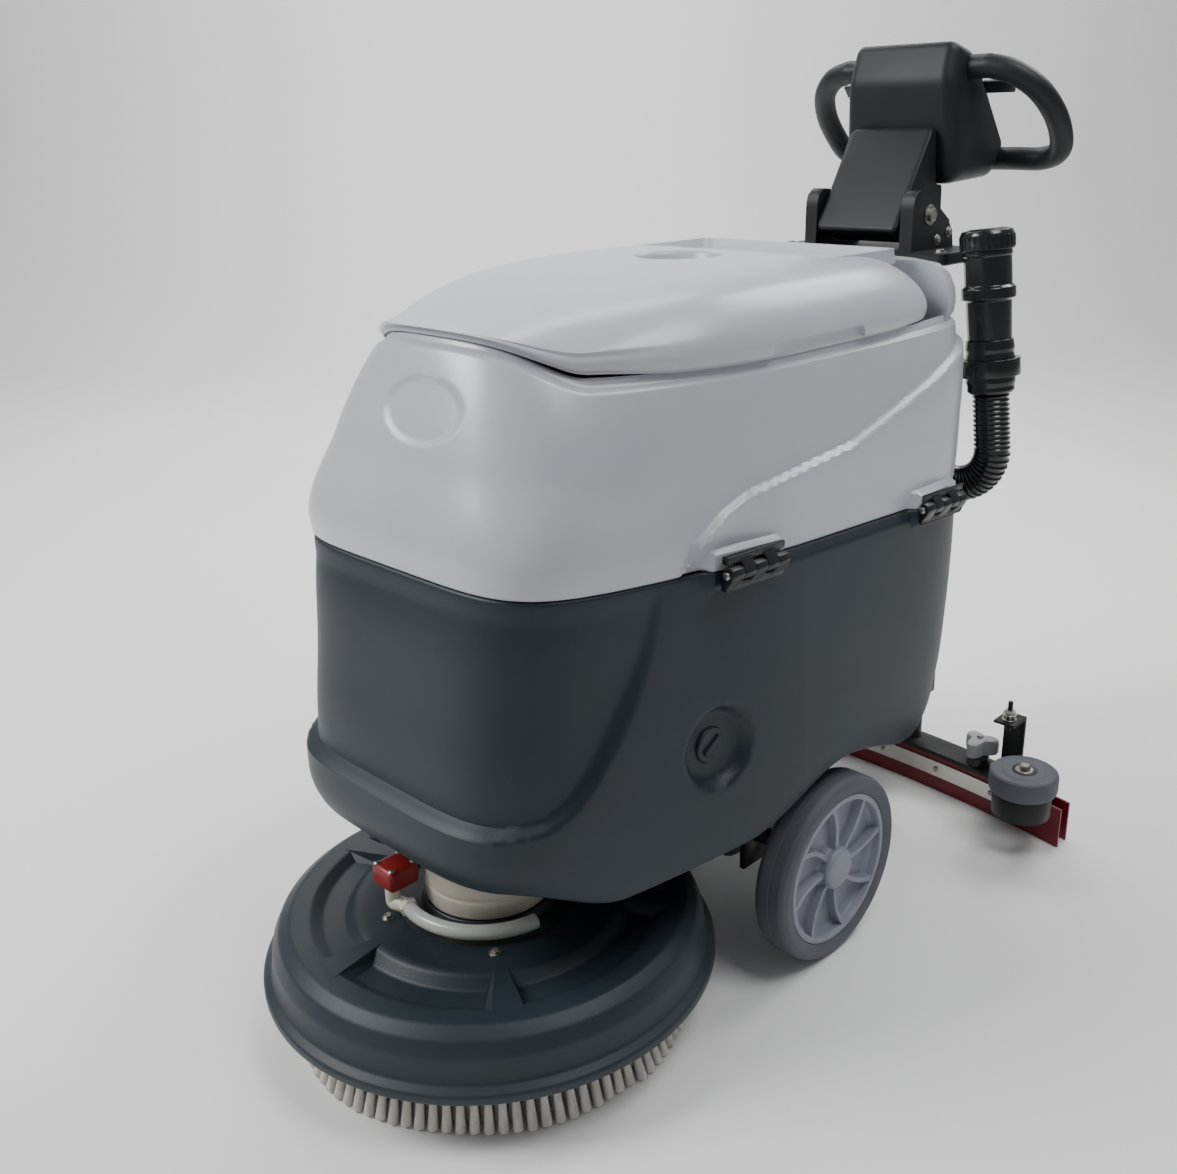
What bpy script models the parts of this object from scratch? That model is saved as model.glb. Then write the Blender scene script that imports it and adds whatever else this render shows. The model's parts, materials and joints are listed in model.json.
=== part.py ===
"""Walk-behind wet and dry floor scrubber, as an assembly of separate parts.

Units are metres and +Z is up. The front of the machine faces -Y and its left side is +X.
The origin is on the floor, at the middle of the machine's box.
"""
import math

import bmesh
import bpy
from mathutils import Vector

# ---------------------------------------------------------------- driving dimensions
GAP = 0.0003             # clearance between pieces that touch
WALL = 0.006             # wall of the moulded tanks
BODY_Y = -0.09           # middle of the body, along the machine
FRONT_WIDTH = 0.228      # half width of the body at its nose
REAR_WIDTH = 0.257       # half width of the body behind the wheels
SEAM_Z = 0.5775          # height of the tank seam at y = 0
SEAM_SLOPE = -0.05       # the seam falls towards the rear
SKIRT_Z = 0.235          # lower edge of the body
ARCH_RISE = 0.041        # how far that edge rises over the wheels
NOSE_RISE = 0.042        # how far it rises across the nose
RIM_Z = 0.800            # level where the lid closes
FLOOR_Z = 0.306          # battery floor
CEILING_Z = 0.300        # underside of the battery floor
LID_REAR = 0.250         # rear edge of the lid
CROWN_Z = 0.886          # top of the lid
RING_POINTS = 36         # points around each body section

AXLE_Y = -0.014
WHEEL_R = 0.126
WHEEL_IN = 0.231
RIM_R = 0.102
SHAFT_R = 0.012

DECK_Y = -0.370
DECK_R = 0.280
LIP_Z = 0.070
YOKE_Z = 0.205
YOKE_Y = -0.140

RAIL_LOW = 0.198
RAIL_TOP = 0.232

HINGE_X = 0.266
HINGE_YS = {"front": -0.188, "rear": 0.205}
KNUCKLE_R = 0.009


PIVOT_Y = 0.426
PIVOT_Z = 0.910
EAR_IN = 0.071
EAR_OUT = 0.091
HEAD_X = 0.095
PANEL_TILT = math.radians(-52.5)
PANEL_AT = Vector((0.0, 0.578, 1.061))

GRIP_R = 0.0165
BLADE_HALF = 0.382
BLADE_Y = 0.470
BLADE_BOW = 1.87         # radius of the squeegee's curve in plan
SWIVEL_Y = 0.470
ARM_Y = 0.300
ARM_Z = 0.1425
ROLLER_X = 0.335
ROLLER_Y = 0.380
ROLLER_R = 0.050
HOSE_X = 0.219           # hose axis at the height where the corrugated part starts
HOSE_Y = 0.402
HOSE_TOP = 0.6757
HOSE_LEAN = math.radians(6.6)
HOSE_R = 0.026
SPIGOT_X = 0.110
SPIGOT_Z = 0.600
TANK_REAR = 0.3530

# ---------------------------------------------------------------- a clean scene
for old in list(bpy.data.objects):
    bpy.data.objects.remove(old, do_unlink=True)

PARTS = bpy.data.collections.new("floor_scrubber")
CUTTERS = bpy.data.collections.new("cutters")
bpy.context.scene.collection.children.link(PARTS)
bpy.context.scene.collection.children.link(CUTTERS)

FINISHES = {
    "slate_plastic": ((0.038, 0.052, 0.065), 0.45, 0.0),
    "grey_plastic": ((0.52, 0.52, 0.54), 0.35, 0.0),
    "black_plastic": ((0.015, 0.015, 0.017), 0.4, 0.0),
    "charcoal_plastic": ((0.03, 0.032, 0.033), 0.5, 0.0),
    "black_steel": ((0.012, 0.012, 0.013), 0.35, 0.6),
    "steel": ((0.5, 0.49, 0.47), 0.3, 1.0),
    "tyre_rubber": ((0.09, 0.095, 0.105), 0.7, 0.0),
    "hub_plastic": ((0.24, 0.25, 0.29), 0.4, 0.0),
    "bristle": ((0.6, 0.58, 0.54), 0.7, 0.0),
    "ivory_plastic": ((0.7, 0.67, 0.58), 0.35, 0.0),
    "clear_tube": ((0.75, 0.76, 0.74), 0.25, 0.0),
    "red_rubber": ((0.24, 0.012, 0.018), 0.45, 0.0),
    "red_plastic": ((0.33, 0.02, 0.02), 0.35, 0.0),
    "knob_plastic": ((0.27, 0.28, 0.29), 0.4, 0.0),
    "battery_case": ((0.02, 0.02, 0.022), 0.5, 0.0),
    "motor_case": ((0.06, 0.06, 0.065), 0.4, 0.5),
}


def finish_for(node, finish):
    """A Principled material for one part."""
    color, roughness, metallic = FINISHES[finish]
    made = bpy.data.materials.new(node + "_" + finish)
    made.use_nodes = True
    shader = made.node_tree.nodes["Principled BSDF"]
    shader.inputs["Base Color"].default_value = (*color, 1.0)
    shader.inputs["Roughness"].default_value = roughness
    shader.inputs["Metallic"].default_value = metallic
    return made


def place(bm, name, finish, at=(0, 0, 0), turn=(0, 0, 0)):
    """Turn a bmesh into a named part, or into a cutter when it has no finish."""
    mesh = bpy.data.meshes.new(name)
    bm.to_mesh(mesh)
    bm.free()
    made = bpy.data.objects.new(name, mesh)
    made.location = at
    made.rotation_euler = turn
    if finish is None:
        CUTTERS.objects.link(made)
        made.hide_render = True
        made.display_type = "WIRE"
    else:
        PARTS.objects.link(made)
        made.data.materials.append(finish_for(name, finish))
    return made


def box(name, finish, low, high, at=(0, 0, 0), turn=(0, 0, 0)):
    """A plain box between two corners."""
    bm = bmesh.new()
    bmesh.ops.create_cube(bm, size=1.0)
    for vert in bm.verts:
        vert.co = Vector([a + (b - a) * (c + 0.5) for a, b, c in zip(low, high, vert.co)])
    return place(bm, name, finish, at, turn)


TURNS = {"X": (0, math.pi / 2, 0), "Y": (-math.pi / 2, 0, 0), "Z": (0, 0, 0)}


def rod(name, finish, at, radius, length, axis="Z", sides=16, top=None):
    """A cylinder or cone that starts at a point and runs along +X, +Y or +Z."""
    bm = bmesh.new()
    wide = radius if top is None else top
    bmesh.ops.create_cone(bm, cap_ends=True, segments=sides, radius1=radius, radius2=wide, depth=length)
    bmesh.ops.translate(bm, verts=bm.verts, vec=(0, 0, length / 2))
    return place(bm, name, finish, at, TURNS[axis])


def turned(name, finish, profile, at, axis="Z", sides=32, closed=True):
    """A profile of (radius, height) points swept round an axis by a Screw modifier."""
    bm = bmesh.new()
    verts = [bm.verts.new((r, 0, z)) for r, z in profile]
    last = len(verts) if closed else len(verts) - 1
    for i in range(last):
        bm.edges.new((verts[i], verts[(i + 1) % len(verts)]))
    made = place(bm, name, finish, at, TURNS[axis])
    screw = made.modifiers.new("sweep", "SCREW")
    screw.steps = sides
    screw.render_steps = sides
    screw.use_merge_vertices = True
    screw.merge_threshold = 0.0001
    return made


def loft(name, finish, rings):
    """Skin a list of rings, with a flat cap at each end."""
    bm = bmesh.new()
    rows = [[bm.verts.new(point) for point in ring] for ring in rings]
    for low, high in zip(rows, rows[1:]):
        for i in range(len(low)):
            j = (i + 1) % len(low)
            bm.faces.new((low[i], low[j], high[j], high[i]))
    bm.faces.new(rows[0])
    bm.faces.new(rows[-1])
    bmesh.ops.recalc_face_normals(bm, faces=bm.faces)
    return place(bm, name, finish)


def prism(name, finish, outline, low_x, high_x):
    """A side outline of (y, z) points, extruded across the machine."""
    return loft(name, finish, [[(x, y, z) for y, z in outline] for x in (low_x, high_x)])


def tube(name, finish, points, radius, resolution=3):
    """A round tube along a list of points."""
    curve = bpy.data.curves.new(name, "CURVE")
    curve.dimensions = "3D"
    curve.bevel_depth = radius
    curve.bevel_resolution = resolution
    curve.use_fill_caps = True
    spline = curve.splines.new("POLY")
    spline.points.add(len(points) - 1)
    for target, point in zip(spline.points, points):
        target.co = (*point, 1.0)
    made = bpy.data.objects.new(name, curve)
    PARTS.objects.link(made)
    made.data.materials.append(finish_for(name, finish))
    return made


def smooth_route(points, steps):
    """Points on a Catmull-Rom curve through the given ones."""
    route = [Vector(p) for p in points]
    ends = [route[0] * 2 - route[1]] + route + [route[-1] * 2 - route[-2]]
    found = []
    for i in range(1, len(ends) - 2):
        a, b, c, d = ends[i - 1:i + 3]
        for k in range(steps):
            t = k / steps
            found.append(0.5 * ((2 * b) + (c - a) * t + (2 * a - 5 * b + 4 * c - d) * t ** 2
                                + (3 * b - a - 3 * c + d) * t ** 3))
    return found + [route[-1]]


def combine(base, others, operation):
    """Join or cut a part with helper shapes."""
    for other in others:
        step = base.modifiers.new(operation.lower(), "BOOLEAN")
        step.operation = operation
        step.solver = "EXACT"
        step.object = other
    return base


def soften(made, width, segments=1):
    """Break the sharp edges of a part."""
    bevel = made.modifiers.new("edges", "BEVEL")
    bevel.width = width
    bevel.segments = segments
    bevel.limit_method = "ANGLE"
    bevel.angle_limit = math.radians(40)
    return made


def ease(value):
    """Smooth step from 0 to 1."""
    t = min(max(value, 0.0), 1.0)
    return t * t * (3 - 2 * t)


# ---------------------------------------------------------------- body sections
def width_at(y):
    """Half width of the body: narrow at the nose, full behind the wheels."""
    return FRONT_WIDTH + (REAR_WIDTH - FRONT_WIDTH) * ease((y + 0.42) / 0.35)


def section(front, rear, squareness, scale=1.0, inset=0.0):
    """One horizontal outline of the body, as (x, y) points."""
    points = []
    for i in range(RING_POINTS):
        angle = 2 * math.pi * i / RING_POINTS
        along, across = math.sin(angle), math.cos(angle)
        power = squareness if along < 0 else 6.0
        reach = (BODY_Y - front if along < 0 else rear - BODY_Y) - inset
        y = BODY_Y + reach * math.copysign(abs(along) ** (2 / power), along)
        half = width_at(y) * scale - inset
        x = half * math.copysign(abs(across) ** (2 / power), across)
        points.append((x, y))
    return points


def seam_z(y):
    """Height of the seam between the two tanks."""
    return SEAM_Z + SEAM_SLOPE * y


def skirt_z(y):
    """Lower edge of the body: arched over the wheels and raised over the brush."""
    away = min(abs(y) / 0.19, 1.0)
    return SKIRT_Z + ARCH_RISE * math.cos(away * math.pi / 2) ** 2 + NOSE_RISE * ease((-0.36 - y) / 0.13)


def rim_z(y):
    """Edge where the lid closes: level at the sides, higher across the nose."""
    return RIM_Z + 0.042 * ease((-0.335 - y) / 0.09)


# share of the height, front, rear, squareness of the nose, width
LOWER_LEVELS = [(0.0, -0.513, 0.272, 4.4, 1.03), (0.06, -0.521, 0.285, 4.4, 1.045), (0.22, -0.521, 0.308, 4.6, 1.050),
                (0.29, -0.506, 0.316, 4.7, 1.045), (0.50, -0.497, 0.334, 4.9, 1.03), (0.75, -0.487, 0.348, 5.0, 1.012),
                (1.0, -0.476, 0.352, 5.2, 1.0)]
UPPER_LEVELS = [(0.0, -0.476, 0.350, 5.2, 1.0), (0.06, -0.480, 0.352, 5.2, 1.005),
                (0.5, -0.452, 0.352, 3.8, 0.975), (1.0, -0.406, 0.346, 2.65, 0.924)]


def level_ring(level, low, high):
    """The section at one level, between a lower and an upper edge that follow the body."""
    share, front, rear, squareness, width = level
    ring = section(front, rear, squareness, width)
    return [(x, y, low(y) + (high(y) - low(y)) * share) for x, y in ring]


def make_solution_tank():
    """Lower body: an open battery bay above a floor, and a skirt that hides the chassis."""
    bay_top = section(-0.476, 0.352, 5.2, inset=WALL)
    bay_floor = section(-0.500, 0.300, 5.0, inset=WALL)
    under = section(-0.500, 0.272, 5.0, inset=WALL)
    rings = [[(x, y, CEILING_Z) for x, y in under], [(x, y, skirt_z(y)) for x, y in under]]
    rings += [level_ring(level, skirt_z, lambda y: seam_z(y) - GAP) for level in LOWER_LEVELS]
    rings += [[(x, y, seam_z(y) - GAP) for x, y in bay_top], [(x, y, FLOOR_Z) for x, y in bay_floor]]
    tank = loft("solution_tank", "slate_plastic", rings)
    hole = rod("plug_hole", None, (0.20, -0.232, 0.379), 0.028, 0.06, "X", 20)
    combine(tank, [hole], "DIFFERENCE")
    rod("side_plug", "slate_plastic", (0.214, -0.232, 0.379), 0.0276, 0.022, "X", 20)


def make_recovery_tank():
    """Upper body: the open tank that the lid closes."""
    rings = [level_ring(level, seam_z, rim_z) for level in UPPER_LEVELS]
    rings.append([(x, y, rim_z(y)) for x, y in section(-0.406, 0.346, 2.65, 0.924, WALL)])
    rings.append([(x, y, seam_z(y) + WALL) for x, y in section(-0.476, 0.350, 5.2, 1.0, WALL)])
    tank = loft("recovery_tank", "grey_plastic", rings)
    hump = prism("rear_hump", None, [(LID_REAR + 0.004, 0.780), (LID_REAR + 0.004, 0.866), (0.305, 0.862),
                                     (0.334, 0.846), (0.3455, 0.810), (0.3455, 0.780)], -0.208, 0.208)
    combine(tank, [hump], "UNION")


def crown_z(y):
    """Height of the lid's crown along the machine."""
    nose = ease((y + 0.45) / 0.28)
    return 0.842 + 0.036 * nose + (CROWN_Z - 0.878) * ease((y + 0.24) / 0.20)


def lid_ring(shrink, lift, sink=0.0):
    """One ring of the lid, shrunk towards the middle and lifted onto the crown."""
    points = []
    for x, y in section(-0.406, LID_REAR, 2.65, 0.924):
        inner_y = BODY_Y + (y - BODY_Y) * shrink
        base = rim_z(y) + 0.003
        top = crown_z(inner_y)
        points.append((x * shrink, inner_y, base + (top - base) * lift - sink))
    return points


def make_lid():
    """Domed lid, a shell that is open underneath, with its cup, tray and finger notch."""
    outer = [(1.0, 0.0), (1.0, 0.20), (0.98, 0.42), (0.93, 0.64), (0.85, 0.82), (0.72, 0.94),
             (0.5, 1.0), (0.15, 1.0)]
    rings = [lid_ring(s * 0.97, h, 0.008 if h else 0.0) for s, h in reversed(outer)]
    rings += [lid_ring(s, h) for s, h in outer]
    lid = loft("lid", "grey_plastic", rings)
    cup = rod("cup_cutter", None, (0.0, -0.012, 0.868), 0.048, 0.05, "Z", 24, 0.058)
    cup_well = rod("cup_well", None, (0.0, -0.012, 0.860), 0.060, 0.022, "Z", 24)
    tray = box("tray_cutter", None, (-0.15, 0.07, 0.872), (0.15, 0.225, 0.93))
    tray_well = box("tray_well", None, (-0.158, 0.062, 0.864), (0.158, 0.233, 0.882))
    combine(lid, [cup_well, tray_well], "UNION")
    combine(lid, [cup, tray], "DIFFERENCE")
    notch = box("notch_cutter", None, (0.215, -0.138, 0.79), (0.27, 0.048, 0.818))
    combine(lid, [notch], "DIFFERENCE")


# ---------------------------------------------------------------- inside the body
def make_batteries():
    """Two batteries on the bay floor."""
    for name, low_y in (("battery_front", -0.29), ("battery_rear", -0.08)):
        case = box(name, "battery_case", (-0.165, low_y, FLOOR_Z + GAP), (0.165, low_y + 0.18, 0.520))
        soften(case, 0.006)


def make_vacuum():
    """Suction motor and float cage inside the recovery tank."""
    base = seam_z(-0.30) + WALL + 0.0035
    profile = [(0.0, 0.09), (0.055, 0.09), (0.07, 0.078), (0.07, 0.03), (0.05, 0.0), (0.0, 0.0)]
    turned("vacuum_motor", "motor_case", profile, (0.0, -0.28, base), closed=False, sides=24)
    base = seam_z(0.05) + WALL + 0.003
    rod("float_cage", "black_plastic", (0.0, 0.05, base), 0.035, 0.14, "Z", 16, 0.030)


def make_hinges():
    """Moulded hinges on the left seam: the lower leaf carries the pin, the upper leaf turns on it."""
    slope = math.atan(SEAM_SLOPE)
    for name, y in HINGE_YS.items():
        at = (HINGE_X, y, seam_z(y))
        wall = width_at(y) + 0.0075
        lower = box("hinge_lower_" + name, "black_plastic",
                    (wall - HINGE_X, -0.050, -0.0195), (-0.0005, 0.050, -KNUCKLE_R - 0.002), at, (slope, 0, 0))
        pieces = [rod("pin_" + name, None, at, 0.0035, 0.106, "Y", 8)]
        pieces[0].location = Vector(at) - Vector((0, 0.053, 0.053 * SEAM_SLOPE))
        pieces[0].rotation_euler = (-math.pi / 2 + slope, 0, 0)
        for k, start in enumerate((-0.050, -0.010, 0.030)):
            pieces.append(knuckle("lower_knuckle_%s_%d" % (name, k), at, slope, start, 0.020, -1))
        combine(lower, pieces, "UNION")
        upper = box("hinge_upper_" + name, "black_plastic",
                    (wall - HINGE_X, -0.050, KNUCKLE_R + 0.002), (-0.0005, 0.050, 0.0195), at, (slope, 0, 0))
        grips = [knuckle("upper_knuckle_%s_%d" % (name, k), at, slope, start, 0.019, 1)
                 for k, start in enumerate((-0.0295, 0.0105))]
        combine(upper, grips, "UNION")
        bore = rod("bore_" + name, None, at, 0.0039, 0.12, "Y", 8)
        bore.location = Vector(at) - Vector((0, 0.06, 0.06 * SEAM_SLOPE))
        bore.rotation_euler = (-math.pi / 2 + slope, 0, 0)
        combine(upper, [bore], "DIFFERENCE")


def knuckle(name, at, slope, start, length, side):
    """One hinge knuckle: a round barrel with a web up or down to its leaf."""
    bm = bmesh.new()
    outline = [(-KNUCKLE_R, 0.016 * side), (-KNUCKLE_R, 0.0)]
    outline += [(-KNUCKLE_R * math.cos(a), -KNUCKLE_R * math.sin(a) * side)
                for a in (math.pi / 4, math.pi / 2, 3 * math.pi / 4)]
    outline += [(KNUCKLE_R, 0.0), (KNUCKLE_R * 0.6, 0.008 * side), (-0.001, 0.016 * side)]
    rows = [[bm.verts.new((x, y, z)) for x, z in outline] for y in (start, start + length)]
    for i in range(len(outline)):
        j = (i + 1) % len(outline)
        bm.faces.new((rows[0][i], rows[0][j], rows[1][j], rows[1][i]))
    bm.faces.new(rows[0])
    bm.faces.new(rows[1])
    bmesh.ops.recalc_face_normals(bm, faces=bm.faces)
    return place(bm, name, None, at, (slope, 0, 0))


# ---------------------------------------------------------------- chassis and wheels
def make_chassis():
    """Welded frame: two rails, cross members, tank supports, axle plates and squeegee lugs."""
    frame = box("chassis_frame", "black_steel", (-0.165, -0.125, RAIL_LOW), (0.165, -0.095, RAIL_TOP))
    bars = []
    for side in (-1, 1):
        low, high = sorted((side * 0.135, side * 0.165))
        bars.append(box("rail", None, (low, -0.12, RAIL_LOW), (high, 0.405, RAIL_TOP)))
        for y in (-0.118, 0.17):
            bars.append(box("support", None, (low + 0.002, y, 0.23), (high - 0.002, y + 0.03, CEILING_Z - GAP)))
        plate = (min(side * 0.14, side * 0.148), max(side * 0.14, side * 0.148))
        bars.append(box("axle_plate", None, (plate[0], AXLE_Y - 0.035, 0.085), (plate[1], AXLE_Y + 0.035, 0.22)))
        low, high = sorted((side * 0.062, side * 0.074))
        bars.append(box("lug", None, (low, ARM_Y - 0.016, ARM_Z - 0.014), (high, ARM_Y + 0.014, 0.22)))
    for y in (0.278, 0.367):
        bars.append(box("cross", None, (-0.16, y, RAIL_LOW + 0.001), (0.16, y + 0.036, RAIL_TOP - 0.001)))
    combine(frame, bars, "UNION")
    holes = [rod("axle_hole", None, (-0.2, AXLE_Y, WHEEL_R), SHAFT_R + 0.0004, 0.4, "X", 16),
             rod("lug_hole", None, (-0.1, ARM_Y, ARM_Z), 0.0064, 0.2, "X", 12)]
    combine(frame, holes, "DIFFERENCE")
    soften(box("rear_post", "black_steel", (-0.045, 0.364, RAIL_TOP + GAP), (0.045, 0.402, 0.846)), 0.004)


def make_drive():
    """Transaxle with its motor and through shaft, and the two drive wheels."""
    case = rod("drive_transaxle", "motor_case", (-0.11, AXLE_Y, WHEEL_R), 0.048, 0.22, "X", 20)
    shaft = rod("shaft", None, (-0.272, AXLE_Y, WHEEL_R), SHAFT_R, 0.544, "X", 16)
    motor = rod("motor_barrel", None, (0.0, AXLE_Y + 0.02, WHEEL_R), 0.045, 0.17, "Y", 20)
    combine(case, [shaft, motor], "UNION")
    tread = [(RIM_R + GAP, 0.046), (0.119, 0.050), (0.126, 0.043), (0.126, 0.007), (0.119, 0.0),
             (RIM_R + GAP, 0.004)]
    disc = [(SHAFT_R + 0.0004, 0.0475), (0.022, 0.0445), (0.030, 0.040), (0.080, 0.036), (0.094, 0.046),
            (RIM_R, 0.046), (RIM_R, 0.006), (0.094, 0.006), (0.088, 0.026), (SHAFT_R + 0.0004, 0.026)]
    for side, name in ((1, "left"), (-1, "right")):
        at = (side * WHEEL_IN, AXLE_Y, WHEEL_R)
        tyre = turned("wheel_tyre_" + name, "tyre_rubber", tread, at, "X", 32)
        hub = turned("wheel_hub_" + name, "hub_plastic", disc, at, "X", 32)
        for wheel_piece in (tyre, hub):
            wheel_piece.rotation_euler = (0, math.pi / 2 * side, 0)


# ---------------------------------------------------------------- brush deck
def make_deck():
    """Lift yoke, motor, gear case, round cover and the brush with its driver."""
    yoke = box("deck_yoke", "black_steel", (-0.098, YOKE_Y - 0.010, YOKE_Z - 0.010),
               (0.098, YOKE_Y + 0.010, YOKE_Z + 0.010))
    arms = []
    for side in (-1, 1):
        low, high = sorted((side * 0.088, side * 0.096))
        arms.append(box("yoke_arm", None, (low, DECK_Y - 0.012, YOKE_Z - 0.009), (high, YOKE_Y, YOKE_Z + 0.009)))
    combine(yoke, arms, "UNION")
    shell = [(0.115, 0.150), (0.158, 0.150), (0.178, 0.136), (0.204, 0.136), (0.220, 0.1445), (0.244, 0.143),
             (0.264, 0.122), (0.269, 0.088), (DECK_R, 0.081), (DECK_R, LIP_Z), (0.264, LIP_Z), (0.259, 0.119),
             (0.242, 0.1385), (0.222, 0.1402), (0.206, 0.132), (0.176, 0.132), (0.156, 0.1462), (0.115, 0.1462)]
    turned("deck_cover", "slate_plastic", shell, (0, DECK_Y, 0), sides=40)
    gear = [(0.0, 0.1575), (0.080, 0.1575), (0.085, 0.1459), (0.142, 0.1459), (0.142, 0.139), (0.09, 0.139),
            (0.06, 0.105), (0.0, 0.105)]
    turned("gear_case", "motor_case", gear, (0, DECK_Y, 0), sides=32, closed=False)
    motor = [(0.0, 0.246), (0.068, 0.246), (0.078, 0.236), (0.078, 0.1578), (0.0, 0.1578)]
    turned("brush_motor", "ivory_plastic", motor, (0, DECK_Y, 0), sides=32, closed=False)
    rod("brush_driver", "black_plastic", (0, DECK_Y, 0.0662), 0.055, 0.038, "Z", 16)
    plate = [(0.0, 0.0659), (0.228, 0.0659), (0.236, 0.058), (0.236, 0.0453), (0.0, 0.0453)]
    turned("brush_block", "black_plastic", plate, (0, DECK_Y, 0), sides=32, closed=False)
    tufts = [(0.15, 0.045), (0.236, 0.045), (0.254, 0.0), (0.135, 0.0)]
    turned("brush_bristles", "bristle", tufts, (0, DECK_Y, 0), sides=40)


def make_water_feed():
    """Solenoid valve, its elbow and the water tube that runs round the motor."""
    valve = box("water_valve", "red_plastic", (-0.077, -0.488, 0.1813), (-0.037, -0.445, 0.2100))
    soften(valve, 0.004)
    rod("water_elbow", "ivory_plastic", (-0.052, -0.477, 0.160), 0.011, 0.021, "Z", 12)
    bend = []
    for k in range(14):
        angle = math.radians(253 + 7.5 * k)
        bend.append((0.106 * math.cos(angle), DECK_Y + 0.106 * math.sin(angle), 0.1620))
    tube("water_tube", "clear_tube", bend, 0.009, 2)


# ---------------------------------------------------------------- handle
HEAD_OUTLINE = [(0.465, 1.090), (0.476, 0.996), (0.483, 0.948), (0.600, 0.955), (0.631, 0.992),
                (0.525, 1.130), (0.482, 1.142)]
ARM_OUTLINE = [(0.372, 0.889), (0.459, 1.026), (0.4720, 1.026), (0.4755, 0.996), (0.4826, 0.9475),
               (0.500, 0.9484), (0.502, 0.905), (0.485, 0.885), (0.430, 0.868)]
EAR_OUTLINE = [(0.380, 0.850), (0.384, 0.944), (0.413, 0.941), (0.487, 0.892), (0.498, 0.850)]
GRIP_ROUTE = [(0.0956, 0.518, 1.106), (0.108, 0.518, 1.106), (0.120, 0.5185, 1.1055), (0.150, 0.526, 1.097), (0.178, 0.545, 1.075),
              (0.192, 0.573, 1.044), (0.192, 0.602, 1.012), (0.182, 0.619, 0.990), (0.155, 0.626, 0.980),
              (0.115, 0.622, 0.980), (0.0956, 0.622, 0.980)]


def make_handle_mount():
    """Bracket on top of the post, with two ears that hold the pivot bolt."""
    plate = box("handle_bracket", "charcoal_plastic", (-0.146, 0.376, 0.8463), (0.146, 0.502, 0.862))
    ears = [prism("ear", None, EAR_OUTLINE, *sorted((side * EAR_IN, side * EAR_OUT))) for side in (-1, 1)]
    combine(plate, ears, "UNION")
    combine(plate, [rod("ear_hole", None, (-0.12, PIVOT_Y, PIVOT_Z), 0.0066, 0.24, "X", 12)], "DIFFERENCE")
    bolt = rod("handle_pivot_bolt", "steel", (-0.092, PIVOT_Y, PIVOT_Z), 0.006, 0.184, "X", 12)
    heads = [rod("bolt_head", None, (x, PIVOT_Y, PIVOT_Z), 0.010, 0.006, "X", 6) for x in (-0.0973, 0.0913)]
    combine(bolt, heads, "UNION")


def make_handle():
    """Tilting arm, control head, panel, controls and the two hand loops."""
    arm = prism("handle_arm", "charcoal_plastic", ARM_OUTLINE, -0.068, 0.068)
    combine(arm, [rod("arm_hole", None, (-0.1, PIVOT_Y, PIVOT_Z), 0.0066, 0.2, "X", 12)], "DIFFERENCE")
    head = prism("control_head", "charcoal_plastic", HEAD_OUTLINE, -HEAD_X, HEAD_X)
    tilt = (PANEL_TILT, 0, 0)
    pocket = box("panel_pocket", None, (-0.078, -0.068, -0.005), (0.078, 0.068, 0.02), PANEL_AT, tilt)
    combine(head, [pocket], "DIFFERENCE")
    box("control_panel", "black_plastic", (-0.0777, -0.0677, -0.0047), (0.0777, 0.0677, -0.0008), PANEL_AT, tilt)
    controls = (("start_switch", -0.040, 0.020, 0.011, 0.008), ("key_switch", 0.040, 0.020, 0.012, 0.012),
                ("speed_dial", 0.0, -0.030, 0.016, 0.014))
    for name, across, along, radius, height in controls:
        at = PANEL_AT + Vector((across, along * math.cos(PANEL_TILT), along * math.sin(PANEL_TILT)))
        at += Vector((0, -math.sin(PANEL_TILT), math.cos(PANEL_TILT))) * (0.003 if radius < 0.0115 else -0.0005)
        button = rod(name, "knob_plastic", at, radius, height, "Z", 16)
        button.rotation_euler = tilt
    for side, name in ((1, "left"), (-1, "right")):
        route = smooth_route([(x * side, y, z) for x, y, z in GRIP_ROUTE], 2)
        tube("grip_" + name, "charcoal_plastic", route, GRIP_R, 2)
        low, high = sorted((side * 0.0956, side * 0.140))
        box("trigger_" + name, "black_plastic", (low, -0.010, -0.003), (high, 0.010, 0.003),
            (0, 0.548, 1.080), (math.radians(-48), 0, 0))


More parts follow.
